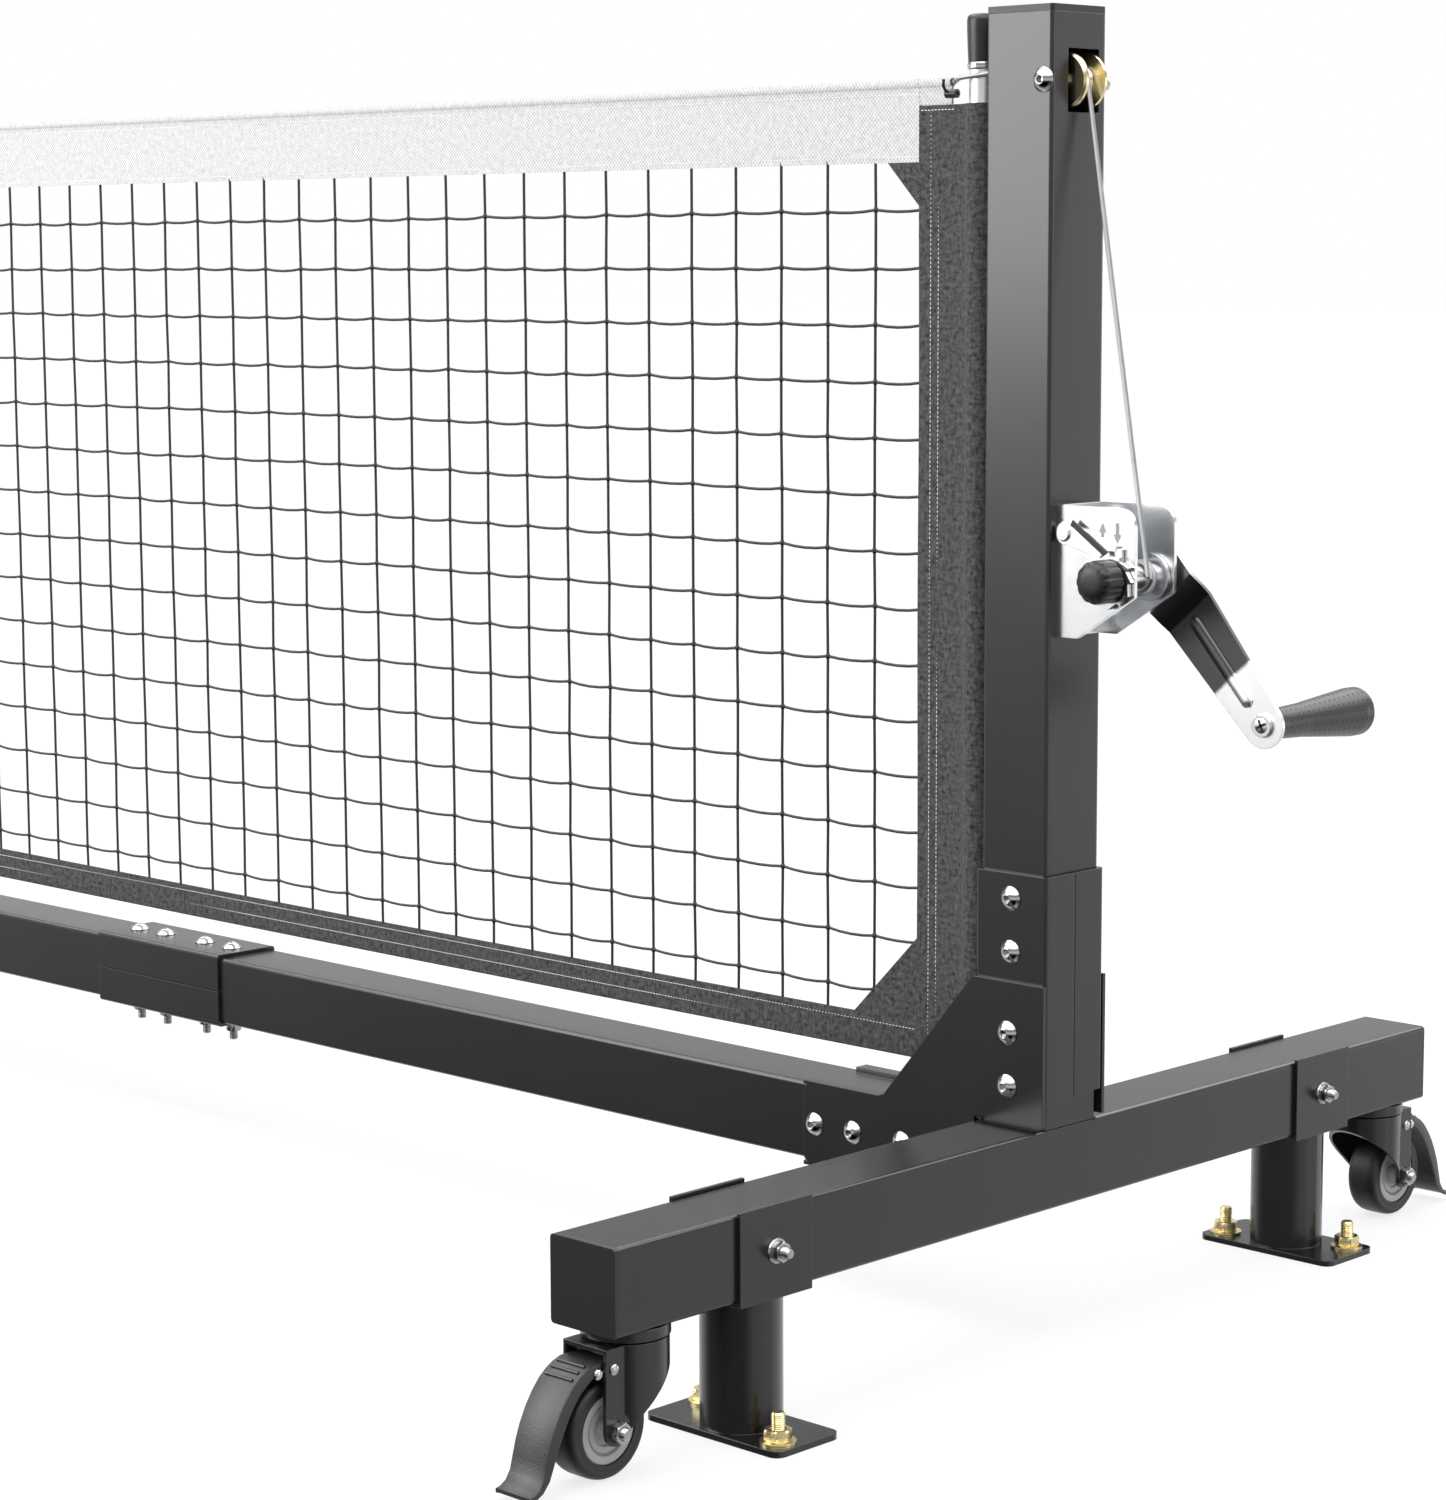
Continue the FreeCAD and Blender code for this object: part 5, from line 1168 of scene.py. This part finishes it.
def cross_bolts():
    """The bolts across the saddles: a hexagon head inboard, a threaded end outboard."""
    build = Build()
    head = 0.007
    for low, high in lumps("anchor_cross_bolts"):
        start, long = middle(low, high), high.x - low.x
        way = "+X" if start.x > MID_X else "-X"
        start.x = low.x if way == "+X" else high.x
        outline = [(NO_HOLE, head), (SHANK, head),
                   *threaded(SHANK, 0.0006, THREAD_PITCH, long - 0.018, long), (NO_HOLE, long)]
        build.turned(outline, 32, facing(start, way))
        chamfered_nut(build, start, way, NUT_ACROSS, head, 0.0005)
    build.piece("saddle_bolts", DULL_ZINC, stands_for="anchor_cross_bolts", sharp=30)


def pole_rings():
    """A bright ring under each pole's top cap."""
    build = Build()
    ring = [(POLE_RADIUS, 0), (0.0120, 0.0004), (0.0122, 0.0012), (0.0122, 0.0044),
            (0.0118, 0.0052), (POLE_RADIUS, 0.0055)]
    for end in ENDS:
        build.turned(ring, 48, facing(Vector((end_x(end, -POLE_INSET), 0, 0.9185)), "+Z"))
    build.piece("pole_rings", CHROME)


def pole_caps():
    """Tapered plastic caps with rounded tops, and short plugs below."""
    low, high = corners("net_pole_caps")
    cap = [(POLE_RADIUS, 0.924), (0.0115, 0.924), (0.0119, 0.932)]
    cap += [(radius, high.z - drop) for radius, drop in (
        (0.0125, 0.010), (0.0125, 0.0045), (0.0120, 0.0022), (0.0106, 0.0006),
        (0.0085, 0), (NO_HOLE, 0))]
    plug = [(radius, low.z + rise) for radius, rise in (
        (NO_HOLE, 0), (0.0105, 0), (0.0123, 0.0015), (0.0125, 0.017), (POLE_RADIUS, 0.017))]
    build = Build()
    for end in ENDS:
        foot = facing(Vector((end_x(end, -POLE_INSET), 0, 0)), "+Z")
        build.turned(cap, 48, foot)
        build.turned(plug, 48, foot)
    build.piece("pole_caps_tapered", CAP_BLACK, stands_for="net_pole_caps", sharp=40)


def rope_hooks():
    """A short black wire from the rope down to the clip at each end of the head band."""
    build = Build()
    bends = ((-0.0125, 0.9125), (-0.0128, 0.908), (-0.0105, 0.9045), (-0.0080, 0.9035))
    for end in ENDS:
        build.tube([Vector((end_x(end, -0.1145), y, z)) for y, z in bends], 0.0011, 8)
    build.piece("rope_hooks", CAP_BLACK)


# ---------------------------------------------------------- casters

SWIVEL_OUT = 0.424
TRAIL = 0.028
AXLE_Z = 0.035
CHEEK = 0.020
PEDAL_LINE = ((0.026, 0.0826), (0.036, 0.0830), (0.044, 0.0826), (0.051, 0.0802),
              (0.057, 0.0768), (0.063, 0.0720), (0.069, 0.0650), (0.075, 0.0562),
              (0.0802, 0.0460), (0.0840, 0.0360), (0.0868, 0.0260), (0.0892, 0.0170),
              (0.0930, 0.0112), (0.0978, 0.0084), (0.1015, 0.0076))
PEDAL_DEEP = (0.0034, 0.0060, 0.0075, 0.0085, 0.0090, 0.0090, 0.0090, 0.0090,
              0.0088, 0.0080, 0.0068, 0.0054, 0.0042, 0.0036, 0.0034)
PEDAL_RIBS = ((0.0490, 0.0812), (0.0545, 0.0784), (0.0598, 0.0748))
PEDAL_HALF = 0.0165
PEDAL_THICK = 0.003
PEDAL_WALL = 0.002
TYRE_SHOULDER = ((0.0238, 0.0128), (0.0262, 0.0130), (0.0275, 0.0126), (0.0290, 0.0131),
                 (0.0312, 0.0129), (0.0327, 0.0118), (0.0336, 0.0098), (0.0340, 0.0070),
                 (0.03402, 0.0035))
HUB_FACE = ((0.0041, 0.0171), (0.0080, 0.0171), (0.0080, 0.0086), (0.0112, 0.0088),
            (0.0118, 0.0104), (0.0158, 0.0108), (0.0164, 0.0096), (0.0172, 0.0096),
            (0.0178, 0.0118), (0.0186, 0.0122), (0.0228, 0.0122), (0.0237, 0.0114))


class Caster:
    """Where one caster is, and which way is out."""

    def __init__(self, end, side):
        self.name = f"{end}_{side}"
        self.turn = ENDS[end]
        self.sign = SIDES[side]
        self.x = end_x(end, -0.030)

    def at(self, out, up, across=0.0):
        """A point out from the swivel, up from the floor, and across towards the wheel nut."""
        return Vector((self.x + self.turn * across, self.sign * (SWIVEL_OUT + out), up))

    def facing(self, out, up, across, away=1):
        """A matrix whose +Z looks along the wheel's axis, away from the middle of the net."""
        return facing(self.at(out, up, across), "+X" if self.turn * away > 0 else "-X")

    def domes(self, build, dome, out, up, across):
        """Domed rivet heads on both sides."""
        build.turned(dome, 28, self.facing(out, up, across))
        build.turned(dome, 28, self.facing(out, up, -across, -1))


def brake_pedal(caster):
    """A bent strap with turned-down sides, and three ribs across it beside the hinge."""
    half, inside = PEDAL_HALF, PEDAL_HALF - PEDAL_WALL
    last = len(PEDAL_LINE) - 1
    rows = []
    for index, ((out, up), deep) in enumerate(zip(PEDAL_LINE, PEDAL_DEEP)):
        before, after = PEDAL_LINE[max(index - 1, 0)], PEDAL_LINE[min(index + 1, last)]
        run = Vector((after[0] - before[0], after[1] - before[1])).normalized()
        side = [(-half, deep), (-half, 0.0014), (-half + 0.0004, 0.0004), (-half + 0.0014, 0)]
        cross = side + [(-across, down) for across, down in reversed(side)]
        cross += [(inside, deep), (inside, PEDAL_THICK), (-inside, PEDAL_THICK), (-inside, deep)]
        rows.append([caster.at(out + run.y * down, up - run.x * down, across)
                     for across, down in cross])
    strap = Build()
    strap.loft(rows)
    for out, up in PEDAL_RIBS:
        line = [caster.at(out, up, across) for across in (-0.0125, -0.0120, 0.0120, 0.0125)]
        strap.tube(line, 0.0013, 10)
    body = f"pedal_{caster.name}"
    strap.piece(f"brake_strap_{caster.name}", PEDAL_BLACK, body, f"brake_pedal_{caster.name}",
                sharp=40)
    rivet = Build()
    caster.domes(rivet, [(NO_HOLE, 0), (0.0040, 0), (0.0039, 0.0010), (0.0030, 0.0019),
                         (0.0016, 0.0024), (NO_HOLE, 0.0025)], 0.041, 0.0755, PEDAL_HALF)
    rivet.piece(f"pedal_rivet_{caster.name}", CHROME, body, sharp=50)


def wheel(caster):
    """A black tyre on a stepped grey centre."""
    for name, half, material, node, sharp in (
            ("tyre_round", TYRE_SHOULDER, RUBBER, "tyre", 50),
            ("hub_stepped", HUB_FACE, HUB_GREY, "hub", 35)):
        profile = [(radius, -high) for radius, high in half] + list(reversed(half))
        build = Build()
        build.turned(profile + [profile[0]], 96, caster.facing(TRAIL, AXLE_Z, 0))
        build.piece(f"{name}_{caster.name}", material, f"wheel_{caster.name}",
                    f"{node}_{caster.name}", sharp=sharp)


def axle(caster):
    """The wheel bolt with its nut and threaded end outboard, and the hinge pin's domed heads."""
    build = Build()
    tail, head, pin = 0.010, 0.005, (0.030, 0.077)
    way = "+X" if caster.turn > 0 else "-X"
    start = caster.at(TRAIL, AXLE_Z, -CHEEK - head)
    long = 2 * CHEEK + tail + head
    outline = [(NO_HOLE, head), (SHANK, head),
               *threaded(SHANK, 0.0005, 0.001, long - 0.012, long), (NO_HOLE, long)]
    build.turned(outline, 32, facing(start, way))
    chamfered_nut(build, start, way, NUT_ACROSS, head, 0.0005)
    chamfered_nut(build, caster.at(TRAIL, AXLE_Z, CHEEK), way, NUT_ACROSS, 0.007, SHANK, spin=0.25)
    build.turned([(0.0025, 0), (0.0025, 2 * CHEEK)], 20, facing(caster.at(*pin, -CHEEK), way))
    caster.domes(build, [(NO_HOLE, 0), (0.0040, 0), (0.0039, 0.0009), (0.0030, 0.0017),
                         (0.0016, 0.0021), (NO_HOLE, 0.0022)], *pin, CHEEK)
    build.piece(f"wheel_bolt_{caster.name}", DULL_ZINC, f"caster_{caster.name}",
                f"axle_set_{caster.name}", sharp=30)


knob()
winch_marks()
pawl()
rope_coil()
crank_rib()
crank_screw()
pulley_fixings()
floor_studs()
cross_bolts()
pole_rings()
pole_caps()
rope_hooks()
for end in ENDS:
    for side in SIDES:
        caster = Caster(end, side)
        brake_pedal(caster)
        wheel(caster)
        axle(caster)


# ---------------------------------------------------------- studio

CAMERA_SPOT = Vector((WINCH_FACE + 1.6139, -2.0265, 0.7871))
YAW, PITCH, ROLL = (math.radians(angle) for angle in (44.105, 7.7566, -0.2278))
FLOOR_HALF = 40


def camera():
    data = bpy.data.cameras.new("camera")
    data.lens = 87.03
    data.sensor_width = 36
    data.sensor_fit = "AUTO"
    data.clip_end = 60
    item = bpy.data.objects.new("camera", data)
    bpy.context.scene.collection.objects.link(item)
    turn = Matrix.Rotation(YAW, 4, "Z") @ Matrix.Rotation(math.radians(90) - PITCH, 4, "X")
    item.matrix_world = Matrix.Translation(CAMERA_SPOT) @ turn @ Matrix.Rotation(ROLL, 4, "Z")
    bpy.context.scene.camera = item


def softbox(name, spot, target, size, power):
    """A rectangular light that the camera doesn't see."""
    data = bpy.data.lights.new(name, "AREA")
    data.shape = "RECTANGLE"
    data.size, data.size_y = size
    data.energy = power
    item = bpy.data.objects.new(name, data)
    item.location = spot
    item.rotation_euler = (Vector(target) - Vector(spot)).to_track_quat("-Z", "Y").to_euler()
    item.visible_camera = False
    bpy.context.scene.collection.objects.link(item)
    return item


def white_floor():
    mesh = bpy.data.meshes.new("floor")
    square = ((-1, -1), (1, -1), (1, 1), (-1, 1))
    mesh.from_pydata([(FLOOR_HALF * x, FLOOR_HALF * y, 0) for x, y in square], [], [(0, 1, 2, 3)])
    floor = bpy.data.objects.new("floor", mesh)
    bpy.context.scene.collection.objects.link(floor)
    paper = Finish("studio floor", Base_Color=(0.28, 0.28, 0.28, 1), Roughness=1.0,
                   Specular_IOR_Level=0.0, Emission_Color=(1, 1, 1, 1), Emission_Strength=0.76)
    mesh.materials.append(paper.material)
    floor.visible_glossy = False
    return floor


def sky():
    """White to the eye and on dull surfaces; in reflections, walls of differing brightness."""
    world = bpy.data.worlds.new("studio")
    bpy.context.scene.world = world
    world.use_nodes = True
    kit = Nodes(world.node_tree)
    right, back, up = kit.parts(kit.node("TexCoord", output="Generated"))
    rear = kit.step(back - right * 0.6, 0.2, 0.9)
    front = kit.step(back * -1, 0.15, 0.6)
    low = kit.step(up * -1, 0.12, 0.26)
    high = kit.step(up, 0.13, 0.30)
    brow = (kit.step(up, 0.30, 0.40) * 0.5 + kit.step(up, 0.46, 0.58) * 3.6
            - kit.step(up, 0.80, 0.90) * 3.0)
    strips = [kit.step(right * x + back * y, 0.975, 0.995)
              for x, y in ((0.942, 0.335), (0.407, 0.913))]
    strips_lit = (strips[0] + strips[1]) * 2.4 * (1 - kit.step(up, 0.35, 0.45))
    walls = 0.80 + rear * 0.25 - front * low * 0.80 + strips_lit
    glow = walls * (1 - high * 0.78) + brow
    glossy = kit.node("LightPath", output="Is Glossy Ray")
    shade = kit.node("Mix", {"data_type": "FLOAT"}, {0: glossy, 2: 1.0, 3: glow})
    ground = kit.tree.nodes["Background"]
    kit.feed(ground.inputs["Strength"], shade)
    kit.feed(ground.inputs["Color"], (1, 1, 1, 1))


def lights(floor):
    """Three soft lights round the winch end; the brightest leaves the white floor out."""
    near = WINCH_FACE
    key = softbox("front left", (near - 2.5, -2.8, 1.5), (near - 0.05, -0.05, 0.95), (2.3, 1.7), 84)
    unlit = bpy.data.collections.new("left out by the front left light")
    unlit.objects.link(floor)
    key.light_linking.receiver_collection = unlit
    unlit.collection_objects[0].light_linking.link_state = "EXCLUDE"
    softbox("overhead", (near - 0.4, -0.6, 3.2), (near - 0.2, 0, 0), (3.0, 2.0), 42)
    softbox("right", (near + 2.9, 1.1, 1.9), (near, 0, 0.7), (0.4, 1.4), 9)


camera()
sky()
lights(white_floor())
bpy.context.scene.view_settings.view_transform = "Standard"
